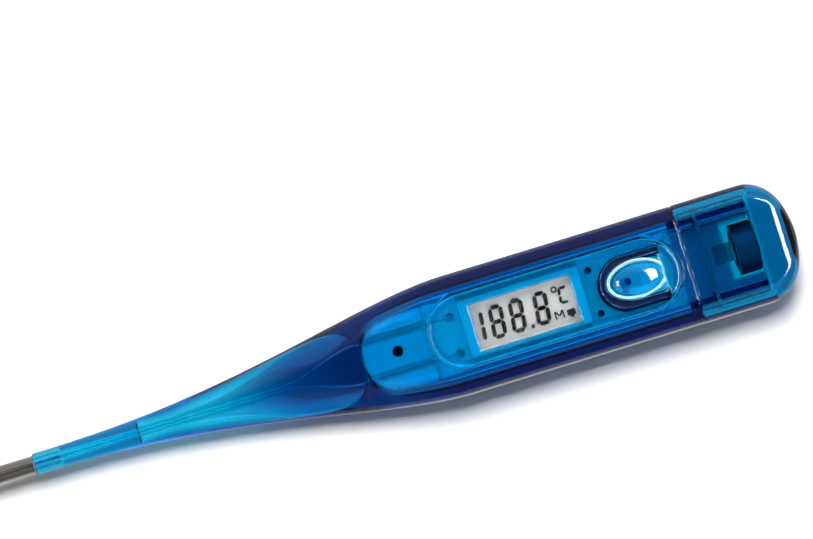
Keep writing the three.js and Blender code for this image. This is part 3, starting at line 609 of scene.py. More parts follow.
def texture_space(nodes, links, scale):
    """Object coordinates, in a mapping scaled along each axis."""
    place = nodes.new("ShaderNodeTexCoord")
    mapping = nodes.new("ShaderNodeMapping")
    mapping.inputs["Scale"].default_value = scale
    links.new(place.outputs["Object"], mapping.inputs["Vector"])
    return mapping.outputs["Vector"]


def noise_value(nodes, links, scale, detail=3.0, stretch=(1, 1, 1)):
    noise = nodes.new("ShaderNodeTexNoise")
    noise.inputs["Scale"].default_value = scale
    noise.inputs["Detail"].default_value = detail
    links.new(texture_space(nodes, links, stretch), noise.inputs["Vector"])
    return noise.outputs["Fac"]


def ranged(nodes, links, value, to, span=(0.3, 0.7), kind="LINEAR"):
    """Takes value from one range to another."""
    node = nodes.new("ShaderNodeMapRange")
    node.interpolation_type = kind
    for name, number in zip(("From Min", "From Max", "To Min", "To Max"), (*span, *to)):
        node.inputs[name].default_value = number
    links.new(value, node.inputs["Value"])
    return node.outputs["Result"]


def colour_mix(nodes, links, factor):
    mix = nodes.new("ShaderNodeMix")
    mix.data_type = "RGBA"
    links.new(factor, mix.inputs["Factor"])
    return mix


def add_bump(nodes, links, shader, value, strength, distance_mm):
    bump = nodes.new("ShaderNodeBump")
    bump.inputs["Strength"].default_value = strength
    bump.inputs["Distance"].default_value = distance_mm * MM
    links.new(value, bump.inputs["Height"])
    links.new(bump.outputs["Normal"], shader.inputs["Normal"])


def translucent(name, colour, density, roughness=(0.02, 0.06), ior=1.5, ripple=0.08, shine=0.3):
    """Polished see-through plastic, which takes more from the light the deeper it is."""
    nodes, links, shader = new_material(name)
    shader.inputs["Base Color"].default_value = (1, 1, 1, 1)
    shader.inputs["Transmission Weight"].default_value = 1.0
    shader.inputs["IOR"].default_value = ior
    shader.inputs["Specular IOR Level"].default_value = shine
    fine = noise_value(nodes, links, GRAIN)
    links.new(ranged(nodes, links, fine, roughness), shader.inputs["Roughness"])
    broad = noise_value(nodes, links, RIPPLE, 1.0, (0.5, 1, 1))
    add_bump(nodes, links, shader, broad, ripple, RIPPLE_MM)
    volume = nodes.new("ShaderNodeVolumeAbsorption")
    volume.inputs["Color"].default_value = (*colour, 1)
    volume.inputs["Density"].default_value = density
    links.new(volume.outputs["Volume"], nodes["Material Output"].inputs["Volume"])


def opaque(name, first, second, roughness, metallic=0.0, scale=400.0, stretch=(1, 1, 1),
           bump=0.15, grain_mm=0.02, shine=0.5):
    """A solid finish whose colour and gloss wander a little between two values."""
    nodes, links, shader = new_material(name)
    grain = noise_value(nodes, links, scale, 4.0, stretch)
    mix = colour_mix(nodes, links, ranged(nodes, links, grain, (0, 1)))
    mix.inputs["A"].default_value = (*first, 1)
    mix.inputs["B"].default_value = (*second, 1)
    links.new(mix.outputs["Result"], shader.inputs["Base Color"])
    links.new(ranged(nodes, links, grain, roughness), shader.inputs["Roughness"])
    shader.inputs["Metallic"].default_value = metallic
    shader.inputs["Specular IOR Level"].default_value = shine
    add_bump(nodes, links, shader, grain, bump, grain_mm)


BLUE = (0.0, 0.826, 0.914)
ADHESIVE = (0.03, 0.13, 0.25)
ADHESIVE_EDGE = 0.2

translucent("blue_plastic", BLUE, 2900.0)
translucent("panel_plastic", BLUE, 5600.0)
translucent("button_plastic", (0.0, 0.885, 0.975), 4200.0)
translucent("clear_plastic", (0.9, 0.95, 0.97), 40.0, (0.01, 0.03), 1.49, 0.05)
translucent("glass", (0.9, 0.97, 0.95), 20.0, (0.0, 0.02), 1.2, 0.0)
translucent("polarizer", (0.5, 0.5, 0.52), 60.0, (0.02, 0.05), 1.2, 0.05)
# Pale opaque colour for the top of the button's ring: a painted highlight, not a finish of the
# plastic.
opaque("painted_ring_highlight", (0.3, 0.68, 0.84), (0.5, 0.82, 0.93), (0.4, 0.55))
opaque("nylon", (0.8, 0.8, 0.76), (0.86, 0.86, 0.82), (0.35, 0.5))
# Black rubber for the seal, pin and buzzer glue, pushed to near-black navy with little shine: where
# the seal shows through the button's slot, it is painted shade for that slot.
opaque("dark_rubber", (0.002, 0.004, 0.03), (0.004, 0.008, 0.05), (0.75, 0.9), shine=0.12)
opaque("ring_rubber", (0.008, 0.05, 0.12), (0.015, 0.075, 0.16), (0.45, 0.65))
opaque("probe_steel", (0.5, 0.48, 0.45), (0.62, 0.6, 0.57), (0.1, 0.2), 1.0, 500.0, (0.06, 1, 1),
       0.1, 0.01)
opaque("reflector", (0.9, 0.9, 0.9), (0.95, 0.95, 0.95), (0.4, 0.55), 0.0, 1500.0)
opaque("silicone", (0.72, 0.76, 0.78), (0.8, 0.83, 0.84), (0.4, 0.55))
opaque("black_epoxy", (0.006, 0.006, 0.007), (0.016, 0.016, 0.018), (0.25, 0.45))
opaque("ceramic", (0.72, 0.69, 0.62), (0.8, 0.77, 0.7), (0.3, 0.5))
opaque("wire_enamel", (0.5, 0.52, 0.54), (0.62, 0.64, 0.66), (0.3, 0.45))
opaque("pale_plastic", (0.84, 0.86, 0.87), (0.9, 0.91, 0.92), (0.3, 0.45))
opaque("board_laminate", (0.82, 0.85, 0.84), (0.88, 0.9, 0.89), (0.25, 0.4))
opaque("solder", (0.66, 0.67, 0.68), (0.8, 0.8, 0.8), (0.2, 0.4), 1.0)
opaque("brass", (0.66, 0.46, 0.18), (0.8, 0.6, 0.3), (0.2, 0.35), 1.0, 500.0, (0.1, 1, 1))
opaque("contact_strip", (0.3, 0.32, 0.34), (0.42, 0.44, 0.46), (0.35, 0.5), 0.6)
# Dark navy in place of nickel's pale grey: a painted reflection of dark surroundings on the cell's
# can, which the buzzer springs share.
opaque("nickel", (0.032, 0.036, 0.075), (0.06, 0.066, 0.12), (0.45, 0.6), 1.0)

# Pieces and CAD nodes whose finish is not the one their material slot is named after.
FINISHES = {
    "button_tongue": "button_plastic",
    "sealing_ring": "ring_rubber",
    "positive_contact": "contact_strip",
    "negative_contact": "contact_strip",
}


def coat_shank(material):
    """Past the nose's face the sleeve carries the pale adhesive that holds it in its socket."""
    nodes, links = material.node_tree.nodes, material.node_tree.links
    shader = nodes["Principled BSDF"]
    place = nodes.new("ShaderNodeTexCoord")
    parts = nodes.new("ShaderNodeSeparateXYZ")
    links.new(place.outputs["Object"], parts.inputs["Vector"])
    edge = ((NOSE_X - ADHESIVE_EDGE) * MM, NOSE_X * MM)
    mix = colour_mix(nodes, links, ranged(nodes, links, parts.outputs["X"], (0.0, 1.0), edge))
    links.new(shader.inputs["Base Color"].links[0].from_socket, mix.inputs["A"])
    mix.inputs["B"].default_value = (*ADHESIVE, 1)
    links.new(mix.outputs["Result"], shader.inputs["Base Color"])
    bare = ranged(nodes, links, parts.outputs["X"], (1.0, 0.0), edge)
    links.new(bare, shader.inputs["Metallic"])


def paint_ring_highlight(obj):
    """The raised ring's top faces take an opaque pale, rough finish: a painted highlight on the
    button's ring.
    """
    obj.data.materials.append(MATERIALS["painted_ring_highlight"])
    for face in obj.data.polygons:
        centre = face.center / MM
        reach = math.hypot((centre.x - BUTTON_CENTRE[0]) / BUTTON_RING_RADII[0],
                           centre.y / BUTTON_RING_RADII[1])
        if centre.z > PANEL_HIGH.z + RING_HIGHLIGHT_ABOVE and reach > RING_HIGHLIGHT_REACH:
            face.material_index = 1


def dress(obj, slot, node=None, body="housing"):
    """Gives a finished piece its material, its body and the CAD node it stands for."""
    obj.data.materials.clear()
    obj.data.materials.append(MATERIALS[FINISHES.get(obj.name, slot)])
    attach(obj, body)
    if node:
        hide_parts(node)
    return obj


# ---------------- translucent shells


def neck_band(name, from_x, to_x, proud, depth):
    """A band round the neck, from depth below its surface to proud above it."""
    outer = bar(name, from_x, to_x, NECK_HALF_WIDTH + proud, NECK_LOW_Z - proud,
                NECK_HIGH_Z + proud, NECK_RADIUS + proud)
    inner = bar("inner", from_x - PAST, to_x + PAST, NECK_HALF_WIDTH - depth, NECK_LOW_Z + depth,
                NECK_HIGH_Z - depth, NECK_RADIUS)
    return carve(name, [outer], [inner])


def housing_outside():
    swelling = [body_section(x) for x in spaced(NOSE_X, FULL_X, SWELL_STEPS)]
    nose_end = rounded_end(NOSE_X, 1, NOSE_ROUND, body_section(NOSE_X), 3)
    seam_end = rounded_end(SEAM_X, -1, SEAM_ROUND, body_section(FULL_X))
    outside = loft("outside", nose_end[:-1] + swelling[1:] + seam_end[::-1])
    section = (NECK_START_X, NECK_HALF_WIDTH, NECK_LOW_Z, NECK_HIGH_Z, NECK_RADIUS)
    neck = loft("neck", [section] + rounded_end(NECK_END_X, -1, NECK_ROUND, section)[::-1])
    return [outside, neck]


def housing_hollows():
    arch = [hollow_section(x) for x in crowded_from(CAVITY_START_X, ARCH_LENGTH, ARCH_STEPS)]
    widening = [hollow_section(x) for x in spaced(CAVITY_START_X + ARCH_LENGTH + 0.5, FULL_X, 20)]
    main = loft("main", arch + widening + [(CAVITY_END_X, *hollow_section(FULL_X)[1:])])
    slit_end = crowded(NOSE_HOLLOW_END_X - SLIT_END_LENGTH, NOSE_HOLLOW_END_X, 20)
    nose_places = spaced(NOSE_HOLLOW_START_X, slit_end[0], 44)[1:-1] + slit_end
    nose_start = nose_hollow_section(NOSE_HOLLOW_START_X)
    nose_start = rounded_end(NOSE_HOLLOW_START_X, 1, NOSE_HOLLOW_ROUND, nose_start)
    nose = loft("nose", nose_start + [nose_hollow_section(x) for x in nose_places])
    spreading = spaced(WIRE_SPREAD_START_X, CAVITY_START_X + 1.5, 24)
    bore = loft("bore", [bore_section(x) for x in [SOCKET_END_X - PAST] + spreading])
    socket = turned("socket", [(NOSE_X - PAST, SOCKET_RADIUS), (SOCKET_END_X, SOCKET_RADIUS)], "X",
                    (0, NOSE_Z))
    neck_inside = bar("neck_inside", CAVITY_END_X - PAST, NECK_END_X + PAST, NECK_INNER_HALF_WIDTH,
                      NECK_LOW_Z + NECK_WALL_Z, NECK_HIGH_Z - NECK_WALL_Z, NECK_INNER_RADIUS)
    return [main, nose, bore, socket, neck_inside]


def make_housing():
    slot_length = NECK_END_X + PAST - CELL_SLOT_X
    slot_outline = rectangle((CELL_SLOT_X + slot_length / 2, 0), slot_length,
                             2 * CELL_SLOT_HALF_WIDTH, 0.2)
    cell_slot = stack("cell_slot", slot_outline, [(0, 0), (TOP_Z, 0)])
    groove = neck_band("groove", RING_LOW.x - RING_GAP, RING_HIGH.x + RING_GAP, PAST, RING_DEPTH)
    length, width = PANEL_LENGTH + 2 * PANEL_GAP, PANEL_WIDTH + 2 * PANEL_GAP
    rebate = stack("rebate", stadium(PANEL_CENTRE, length, width),
                   cutter_levels(PANEL_BOTTOM_Z, TOP_Z, REBATE_FLARE))
    ledge_outline = stadium(PANEL_CENTRE, length - 2 * LEDGE_WIDTH, width - 2 * LEDGE_WIDTH)
    opening = stack("opening", ledge_outline, [(TOP_Z - TOP_WALL - PAST, 0), (TOP_Z, 0)])
    cuts = housing_hollows() + [cell_slot, groove, rebate, opening]
    shell = carve("housing_shell", housing_outside(), cuts)
    return dress(smooth(shell), "blue_plastic", "main_housing")


def make_cap():
    mouth = rounded_end(CAP_LOW.x, 1, CAP_MOUTH_ROUND, cap_section(CAP_LOW.x))
    closing = [cap_section(x) for x in crowded(CAP_END_START_X, CAP_END_X, 36)]
    inside_places = [CAP_LOW.x - PAST, CAP_END_START_X, CAP_STEP_X]
    inside_places += crowded(CAP_STEP_END_X, CAP_INNER_END_X, 24)
    inside = loft("inside", [cap_hollow_section(x) for x in inside_places])
    shell = carve("cap_shell", [loft("outside", mouth + closing)], [inside])
    return dress(smooth(shell), "blue_plastic", "battery_cap", "cap")


# ---------------- display panel, lens, button


def make_panel():
    low, high = PANEL_BOTTOM_Z + SEAT, PANEL_HIGH.z
    body = stack("body", stadium(PANEL_CENTRE, PANEL_LENGTH, PANEL_WIDTH),
                 plate_levels(low, high, PANEL_ROUND))
    window = stack("window", rectangle(WINDOW_CENTRE, WINDOW_LENGTH, WINDOW_WIDTH, 0.3),
                   cutter_levels(low - PAST, high, WINDOW_FLARE))
    slot = stack("slot", tongue(SLOT_BEND_X, (SLOT_HALF_WIDTH, SLOT_HALF_WIDTH), SLOT_ROOT_X),
                 cutter_levels(low - PAST, high, TONGUE_ROUND))
    pins = [peg("pin", LOCATING_PIN_LOW_Z, (LOCATING_PIN_X, y), 0.15)
            for y in (-LOCATING_PIN_Y, LOCATING_PIN_Y)]
    panel = carve("panel_insert", [body] + pins, [window, slot])
    return dress(smooth(panel), "panel_plastic", "display_panel")


def make_lens():
    length, width = LENS_HIGH.x - LENS_LOW.x, LENS_HIGH.y - LENS_LOW.y
    lens = stack("window_lens", rectangle(WINDOW_CENTRE, length, width, 0.25),
                 plate_levels(LENS_LOW.z + SEAT, LENS_HIGH.z, 0.08))
    return dress(smooth(lens), "clear_plastic", "display_lens")


def make_button():
    low, high = PANEL_BOTTOM_Z + SEAT, PANEL_HIGH.z
    base = stack("base", tongue(BUTTON_CENTRE[0], TONGUE_RADII, BUTTON_ROOT_X),
                 plate_levels(low, high, TONGUE_ROUND))
    sunk, ring_top = high - BUTTON_SINK, high + BUTTON_RING_HEIGHT
    rim = stack("rim", ellipse(BUTTON_CENTRE, BUTTON_RING_RADII),
                plate_levels(sunk, ring_top, BUTTON_RING_ROUND))
    hole_radii = tuple(radius - BUTTON_RING_WIDTH for radius in BUTTON_RING_RADII)
    hole = stack("hole", ellipse(BUTTON_CENTRE, hole_radii),
                 cutter_levels(high - 0.05, ring_top, BUTTON_RING_INNER_ROUND))
    ring = carve("ring", [rim], [hole])
    rings = []
    for a in spaced(0, DOME_LAST_ANGLE, 24):
        radii = tuple(radius * math.cos(a) for radius in BUTTON_DOME_RADII)
        z = sunk + (TOP_Z - sunk) * math.sin(a)
        rings.append([(x, y, z) for x, y in ellipse(BUTTON_CENTRE, radii)(0)])
    dome = new_object("dome", *skin(rings))
    stem = peg("stem", STEM_LOW_Z, (STEM_X, 0), 0.1)
    length = BUTTON_ROOT_X - BUTTON_CENTRE[0] + TONGUE_RADII[0]
    trim = stack("trim", rectangle((BUTTON_ROOT_X - length / 2, 0), length, 8, 0.1),
                 [(low - 5, 0), (TOP_Z + PAST, 0)])
    button = smooth(carve("button_tongue", [base, ring, dome, stem], kept=[trim]))
    dress(button, "panel_plastic", "power_button", "button")
    # The crest of the ring gets its painted highlight.
    paint_ring_highlight(button)


# ---------------- display

DIGIT_LOW_Y = -2.5
DIGIT_HEIGHT = 5.1
DIGIT_WIDTH = 2.25
STROKE = 0.62
THIN_STROKE = 0.4
LETTER_STROKE = 0.24
SLANT = 0.09
DIGIT_Z = (7.643, 7.657)
DIGIT_BASE = DIGIT_LOW_Y + STROKE / 2
DIGIT_TOP = DIGIT_LOW_Y + DIGIT_HEIGHT - STROKE / 2
DIGIT_MIDDLE = (DIGIT_BASE + DIGIT_TOP) / 2


def stroke(x0, y0, x1, y1, width=STROKE, gap=0.05):
    """A bar with pointed ends between two points."""
    start, end = Vector((x0, y0)), Vector((x1, y1))
    along = (end - start).normalized()
    across = Vector((-along.y, along.x)) * width / 2
    start, end = start + along * gap, end - along * gap
    point = along * width / 2
    return [start, start + point - across, end - point - across, end, end - point + across,
            start + point + across]


def eight(left):
    """The seven bars of an eight, between the centre lines of its outer bars."""
    right = left + DIGIT_WIDTH - STROKE
    level = [stroke(left, y, right, y) for y in (DIGIT_BASE, DIGIT_MIDDLE, DIGIT_TOP)]
    return level + [stroke(x, y0, x, y1) for x, y0, y1 in (
        (left, DIGIT_BASE, DIGIT_MIDDLE), (right, DIGIT_BASE, DIGIT_MIDDLE),
        (left, DIGIT_MIDDLE, DIGIT_TOP), (right, DIGIT_MIDDLE, DIGIT_TOP))]


def round_shape(x, y, radius):
    return [Vector(point) for point in ellipse((x, y), (radius, radius), 24)(0)]


def box_shape(x, y, length, width, corner, steps):
    return [Vector(point) for point in rectangle((x, y), length, width, corner, steps)(0)]


def flat_shapes(name, shapes, slant=SLANT):
    """Thin raised shapes between the two glasses, all leaning alike."""
    verts, faces = [], []
    for shape in shapes:
        start, count = len(verts), len(shape)
        for z in DIGIT_Z:
            verts += [(point.x + (point.y - DIGIT_LOW_Y) * slant, point.y, z) for point in shape]
        faces.append(tuple(range(start + count - 1, start - 1, -1)))
        faces.append(tuple(range(start + count, start + 2 * count)))
        for i in range(count):
            j = (i + 1) % count
            faces.append((start + i, start + j, start + count + j, start + count + i))
    return dress(fix_normals(new_object(name, verts, faces)), "black_epoxy")


def make_digits():
    """The number 188.8, all of its bars dark."""
    one_x = 14.75
    shapes = [stroke(one_x, DIGIT_BASE, one_x, DIGIT_MIDDLE),
              stroke(one_x, DIGIT_MIDDLE, one_x, DIGIT_TOP)]
    for left in (15.95, 19.1, 22.95):
        shapes += eight(left + STROKE / 2)
    shapes.append(round_shape(22.25, DIGIT_LOW_Y + 0.28, 0.3))
    return flat_shapes("display_digits", shapes)


def make_unit_sign():
    """The degree sign and the C."""
    outer, inner = round_shape(26.4, 2.2, 0.5), round_shape(26.4, 2.2, 0.27)
    ring = []
    for i in range(len(outer)):
        j = (i + 1) % len(outer)
        ring.append([outer[i], outer[j], inner[j], inner[i]])
    left, right, low, high = 27.15, 28.3, -0.1, 2.15
    middle = (low + high) / 2
    ends = ((left, high, right, high), (left, low, right, low), (left, low, left, middle),
            (left, middle, left, high))
    letter = [stroke(*end, THIN_STROKE, 0.02) for end in ends]
    return flat_shapes("display_unit_sign", ring + letter)


def make_memory_sign():
    """The memory letter and the battery sign, upright."""
    left, right, low, high = 25.98, 27.2, -2.4, -1.05
    middle, dip = (left + right) / 2, low + 0.5
    ends = ((left, low, left, high), (right, low, right, high), (left, high, middle, dip),
            (middle, dip, right, high))
    battery = [box_shape(28.45, -1.8, 1.3, 0.95, 0.15, 4),
               box_shape(28.45, -2.42, 0.5, 0.35, 0.05, 2)]
    letter = [stroke(*end, LETTER_STROKE, 0) for end in ends]
    return flat_shapes("display_memory_sign", letter + battery, 0)


def bevelled_plate(name, node, slot, edge=0.05, seat=0.01, corner=0.1):
    """A plate the size of its CAD node, a hair clear of its neighbours unless seat is 0."""
    low, high = box_mm(node)
    outline = rectangle(plan_centre(low, high), high.x - low.x - 2 * seat,
                        high.y - low.y - 2 * seat, corner, 3)
    levels = plate_levels(low.z + seat, high.z - seat, edge, edge, 2)
    return dress(smooth(stack(name, outline, levels)), slot, node)


# ---------------- metal and rubber


def make_tip():
    """The drawn sleeve: a round end, and a narrower shank that sits in the nose."""
    radius = (TIP_HIGH.y - TIP_LOW.y) / 2
    inner, shank_inner = radius - SLEEVE_WALL, SHANK_RADIUS - SLEEVE_WALL
    shoulder = NOSE_X - SHOULDER_GAP
    outside = [(TIP_LOW.x + radius * (1 - math.cos(a)), max(radius * math.sin(a), AXIS_RADIUS))
               for a in quarter_turn(20)]
    bend = turned_edge(shoulder, radius, SLEEVE_ROUND, 6)
    shank = [(shoulder, SHANK_RADIUS), (TIP_HIGH.x, SHANK_RADIUS), (TIP_HIGH.x, shank_inner),
             (shoulder - SLEEVE_WALL, shank_inner), (shoulder - SLEEVE_WALL, inner)]
    inside = [(TIP_LOW.x + SLEEVE_WALL + inner * (1 - math.cos(a)),
               max(inner * math.sin(a), AXIS_RADIUS)) for a in quarter_turn(20)[::-1]]
    tip = turned("steel_tip", outside + bend + shank + inside, "X", (0, NOSE_Z), 96)
    return dress(smooth(tip), "probe_steel", "probe_tip")


def make_lead_wire(side, node, name):
    """From beside the bead, through the nose and the block's groove, and down to the board."""
    straight = [(x, side * WIRE_NEAR, NOSE_Z) for x in (WIRE_START_X, WIRE_SPREAD_START_X)]
    spread = [(x, side * wire_place(x)[0], wire_place(x)[1])
              for x in spaced(WIRE_SPREAD_START_X, WIRE_SPREAD_END_X, 24)[1:]]
    route = straight + spread + [(x, side * WIRE_FAR, z) for x, z in WIRE_BENDS]
    return dress(tube(name, route, WIRE_RADIUS), "wire_enamel", node)


def make_spring(node, name):
    low, high = box_mm(node)
    x, y = plan_centre(low, high)
    radius = (high.x - low.x) / 2 - SPRING_WIRE_RADIUS
    points = []
    for turns in spaced(0, SPRING_TURNS, SPRING_TURNS * 24):
        angle = turns * math.tau
        z = lerp(low.z + SPRING_WIRE_RADIUS, high.z - SPRING_WIRE_RADIUS, turns / SPRING_TURNS)
        points.append((x + radius * math.cos(angle), y + radius * math.sin(angle), z))
    return dress(tube(name, points, SPRING_WIRE_RADIUS, 10), "nickel", node)


def disc(name, node, slot, inner=0.0, edge=0.04):
    """A round plate the size of its CAD node, or a ring when inner is given."""
    low, high = box_mm(node)
    radius = (high.x - low.x) / 2
    bore = inner or AXIS_RADIUS
    profile = [(low.z, bore), (low.z, radius - edge), (low.z + edge, radius),
               (high.z - edge, radius), (high.z, radius - edge), (high.z, bore)]
    obj = turned(name, profile, "Z", plan_centre(low, high), closed=inner > 0)
    return dress(smooth(obj), slot, node)


def dome(name, node, slot):
    """A round cap that hangs below the board."""
    low, high = box_mm(node)
    radius, height = (high.x - low.x) / 2, high.z - low.z
    profile = [(high.z, AXIS_RADIUS), (high.z, radius)]
    profile += [(high.z - height * math.sin(a), max(radius * math.cos(a), AXIS_RADIUS))
                for a in quarter_turn(16)[1:]]
    return dress(smooth(turned(name, profile, "Z", plan_centre(low, high))), slot, node)


def make_bead():
    low, high = box_mm("thermistor_bead")
    middle, half = (low + high) / 2, (high - low) / 2
    profile = [(middle.x - half.x * math.cos(a), max(half.y * math.sin(a), AXIS_RADIUS))
               for a in spaced(0, math.pi, 28)]
    bead = turned("sensor_bead", profile, "X", (middle.y, middle.z), 40)
    return dress(smooth(bead), "glass", "thermistor_bead")


def make_pin():
    low, high = box_mm("chassis_pin")
    profile = [(low.z, PIN_RADIUS - 0.1), (low.z + 0.1, PIN_RADIUS)]
    profile += turned_edge(high.z, PIN_RADIUS, PIN_ROUND, 5)
    pin = turned("holding_pin", profile, "Z", plan_centre(low, high), 48)
    return dress(smooth(pin), "dark_rubber", "chassis_pin")


def make_cell():
    radius = (CELL_HIGH.y - CELL_LOW.y) / 2
    inner = radius - CAN_WALL
    profile = [(CELL_LOW.x + CAN_RECESS, inner), (CELL_LOW.x, inner), (CELL_LOW.x, radius)]
    profile += turned_edge(CELL_HIGH.x, radius, CAN_ROUND, 6)
    can = turned("button_cell_can", profile, "X", (0, (CELL_LOW.z + CELL_HIGH.z) / 2))
    return dress(smooth(can), "nickel", "cell_can")


def make_cap_ring():
    ring = neck_band("sealing_ring", RING_LOW.x, RING_HIGH.x, RING_PROUD, RING_DEPTH - RING_GAP / 2)
    return dress(smooth(ring), "dark_rubber", "cap_o_ring")


# ---------------- pale inside parts


def block_section(x):
    _, half_width, low, _, radius = hollow_section(x - BLOCK_GAP)
    return (x, half_width - BLOCK_GAP, low + BLOCK_GAP, BLOCK_HIGH_Z, radius - BLOCK_GAP / 2)


def make_chassis():
    """The front block with its grooves, notches and pin hole, and the rails under the board."""
    start = CAVITY_START_X + BLOCK_GAP
    places = crowded_from(start, ARCH_LENGTH, ARCH_STEPS) + [BLOCK_END_X]
    block = loft("block", [block_section(x) for x in places])
    rail_low = block_section(start)[2] + 0.3
    half = RAIL_HALF_WIDTH
    rails = [slab("rail", (BLOCK_END_X - 2, BOARD_STEP_X), (y - half, y + half),
                  (rail_low, BOARD_LOW.z)) for y in (-RAIL_Y, RAIL_Y)]
    half = GROOVE_WIDTH / 2
    cuts = [slab("groove", (start - PAST, BLOCK_END_X + PAST), (y - half, y + half),
                 (GROOVE_Z, BLOCK_HIGH_Z + PAST)) for y in (-WIRE_FAR, WIRE_FAR)]
    notch_y = block_section(NOTCH_X)[1]
    holes = [((NOTCH_X, -notch_y), NOTCH_RADIUS, 32), ((NOTCH_X, notch_y), NOTCH_RADIUS, 32),
             (PIN_CENTRE, PIN_RADIUS + 0.1, 48)]
    for centre, radius, steps in holes:
        profile = [(z, radius) for z in (0, BLOCK_HIGH_Z + PAST)]
        cuts.append(turned("hole", profile, "Z", centre, steps))
    chassis = carve("front_block", [block] + rails, cuts)
    return dress(smooth(chassis), "pale_plastic", "inner_chassis")


def make_display_frame():
    """Walls round the glass, and a thin lip over its edge up to the window."""
    low, high = box_mm("lcd_frame")
    length, width = high.x - low.x, high.y - low.y
    outside = stack("outside", rectangle(WINDOW_CENTRE, length, width, 0.4),
                    plate_levels(low.z, high.z, 0.12))
    within = rectangle(WINDOW_CENTRE, length - 2 * FRAME_WALL, width - 2 * FRAME_WALL, 0.1)
    inside = stack("inside", within, [(low.z - PAST, 0), (high.z - FRAME_LIP_Z, 0)])
    clear = rectangle(WINDOW_CENTRE, WINDOW_LENGTH + 0.2, WINDOW_WIDTH + 0.2, 0.25)
    opening = stack("opening", clear, [(low.z, 0), (high.z + PAST, 0)])
    bezel = carve("display_bezel", [outside], [inside, opening])
    return dress(smooth(bezel), "pale_plastic", "lcd_frame")


def make_board():
    half, tail = BOARD_HIGH.y, BOARD_TAIL_HALF_WIDTH
    start, end = BOARD_LOW.x, BOARD_HIGH.x
    outline = [(start, -half), (BOARD_STEP_X, -half), (BOARD_STEP_X, -tail), (end, -tail),
               (end, tail), (BOARD_STEP_X, tail), (BOARD_STEP_X, half), (start, half)]
    rings = [[(x, y, z) for x, y in outline] for z in (BOARD_LOW.z, BOARD_HIGH.z)]
    board = bevel(new_object("printed_board", *skin(rings)), 0.06)
    return dress(smooth(board), "board_laminate", "circuit_board")


# ---------------- stage, light and camera

UP = Vector((0, 0, 1))
ROLL = math.radians(17.0)
IMAGE_RIGHT = Vector((math.cos(ROLL), -math.sin(ROLL), 0))
IMAGE_UP = Vector((math.sin(ROLL), math.cos(ROLL), 0))
GLOW_DIRECTION = (IMAGE_UP * 0.75 - IMAGE_RIGHT * 0.25 + UP * 0.6).normalized()

FOCAL = 200.0
SENSOR = 36.0
FRAME_WIDTH = 123.2
CAMERA_TARGET = Vector((6.43, 11.64, 8.0)) * MM
CAMERA_TILT = math.radians(4.0)
LIGHT_CENTRE = Vector((15 * MM, 0, 0))

FLOOR_HALF = 1.5
FLOOR_Z = -0.02 * MM
FLOOR_SHADE = 0.92

# Each light is seen by one kind of ray only: heading in the picture and height in degrees,
# distance, size, power, kind of ray.
LIGHTS = {
    "key_softbox": (105, 69, 0.9, (0.4, 0.4), 11.8, "diffuse"),
    "right_softbox": (25, 60, 0.6, (0.46, 0.22), 8.0, "glossy"),
    "left_softbox": (188, 62, 0.6, (0.3, 0.12), 2.0, "glossy"),
    "upper_fill": (90, 50, 0.9, (1.2, 0.8), 22.5, "transmission"),
    "lower_fill": (270, 50, 0.9, (1.2, 0.8), 16.0, "transmission"),
    **{f"side_fill_{heading}": (heading, 4, 1.3, (2.4, 0.5), 14.0, "transmission")
       for heading in (0, 90, 180, 270)},
    "table_sheen": (0, -90, 0.34, (2.4, 2.4), 7.0, "glossy"),
    "light_table": (0, -90, 0.3, (2.4, 2.4), 14.8, "transmission"),
}


def dress_cad_nodes():
    slots = {row["node"]: row["material_slot"] for row in frame["record"]["subparts"]}
    for name, obj in frame["nodes"].items():
        obj.data.materials.clear()
        obj.data.materials.append(MATERIALS[FINISHES.get(name, slots[name])])


def make_floor():
    half = FLOOR_HALF
    corners = [(-half, -half, 0), (half, -half, 0), (half, half, 0), (-half, half, 0)]
    mesh = bpy.data.meshes.new("floor")
    mesh.from_pydata(corners, [], [(0, 1, 2, 3)])
    floor = add_object("floor", mesh)
    floor.location.z = FLOOR_Z
    _, _, shader = new_material("floor_paper")
    shader.inputs["Base Color"].default_value = (FLOOR_SHADE, FLOOR_SHADE, FLOOR_SHADE, 1)
    shader.inputs["Roughness"].default_value = 0.9
    shader.inputs["Specular IOR Level"].default_value = 0.0
    mesh.materials.append(MATERIALS["floor_paper"])
    floor.visible_glossy = False
    floor.visible_transmission = False


def make_camera():
    """Looks down from almost straight above, far enough off for the photo's flat perspective."""
    back = UP * math.cos(CAMERA_TILT) - IMAGE_UP * math.sin(CAMERA_TILT)
    up = IMAGE_UP * math.cos(CAMERA_TILT) + UP * math.sin(CAMERA_TILT)
    data = bpy.data.cameras.new("camera")
    data.lens = FOCAL
    data.sensor_width = SENSOR
    data.clip_end = 10
    camera = add_object("camera", data)
    distance = FRAME_WIDTH * MM * FOCAL / SENSOR
    rotation = Matrix((up.cross(back), up, back)).transposed().to_4x4()
    camera.matrix_world = Matrix.Translation(CAMERA_TARGET + back * distance) @ rotation
    bpy.context.scene.camera = camera


def area_light(name, direction, elevation, distance, size, power, seen_by):
    """A softbox that faces the object from a heading in the picture and a height above it."""
    heading, rise = math.radians(direction), math.radians(elevation)
    flat = IMAGE_RIGHT * math.cos(heading) + IMAGE_UP * math.sin(heading)
    place = flat * math.cos(rise) + UP * math.sin(rise)
    data = bpy.data.lights.new(name, "AREA")
    data.shape = "RECTANGLE"
    data.size, data.size_y = size
    data.energy = power
    light = add_object(name, data)
    light.location = place * distance + LIGHT_CENTRE
    light.rotation_euler = place.to_track_quat("Z", "Y").to_euler()
    light.visible_camera = False
    light.visible_diffuse = seen_by == "diffuse"
    light.visible_glossy = seen_by == "glossy"
    light.visible_transmission = seen_by == "transmission"


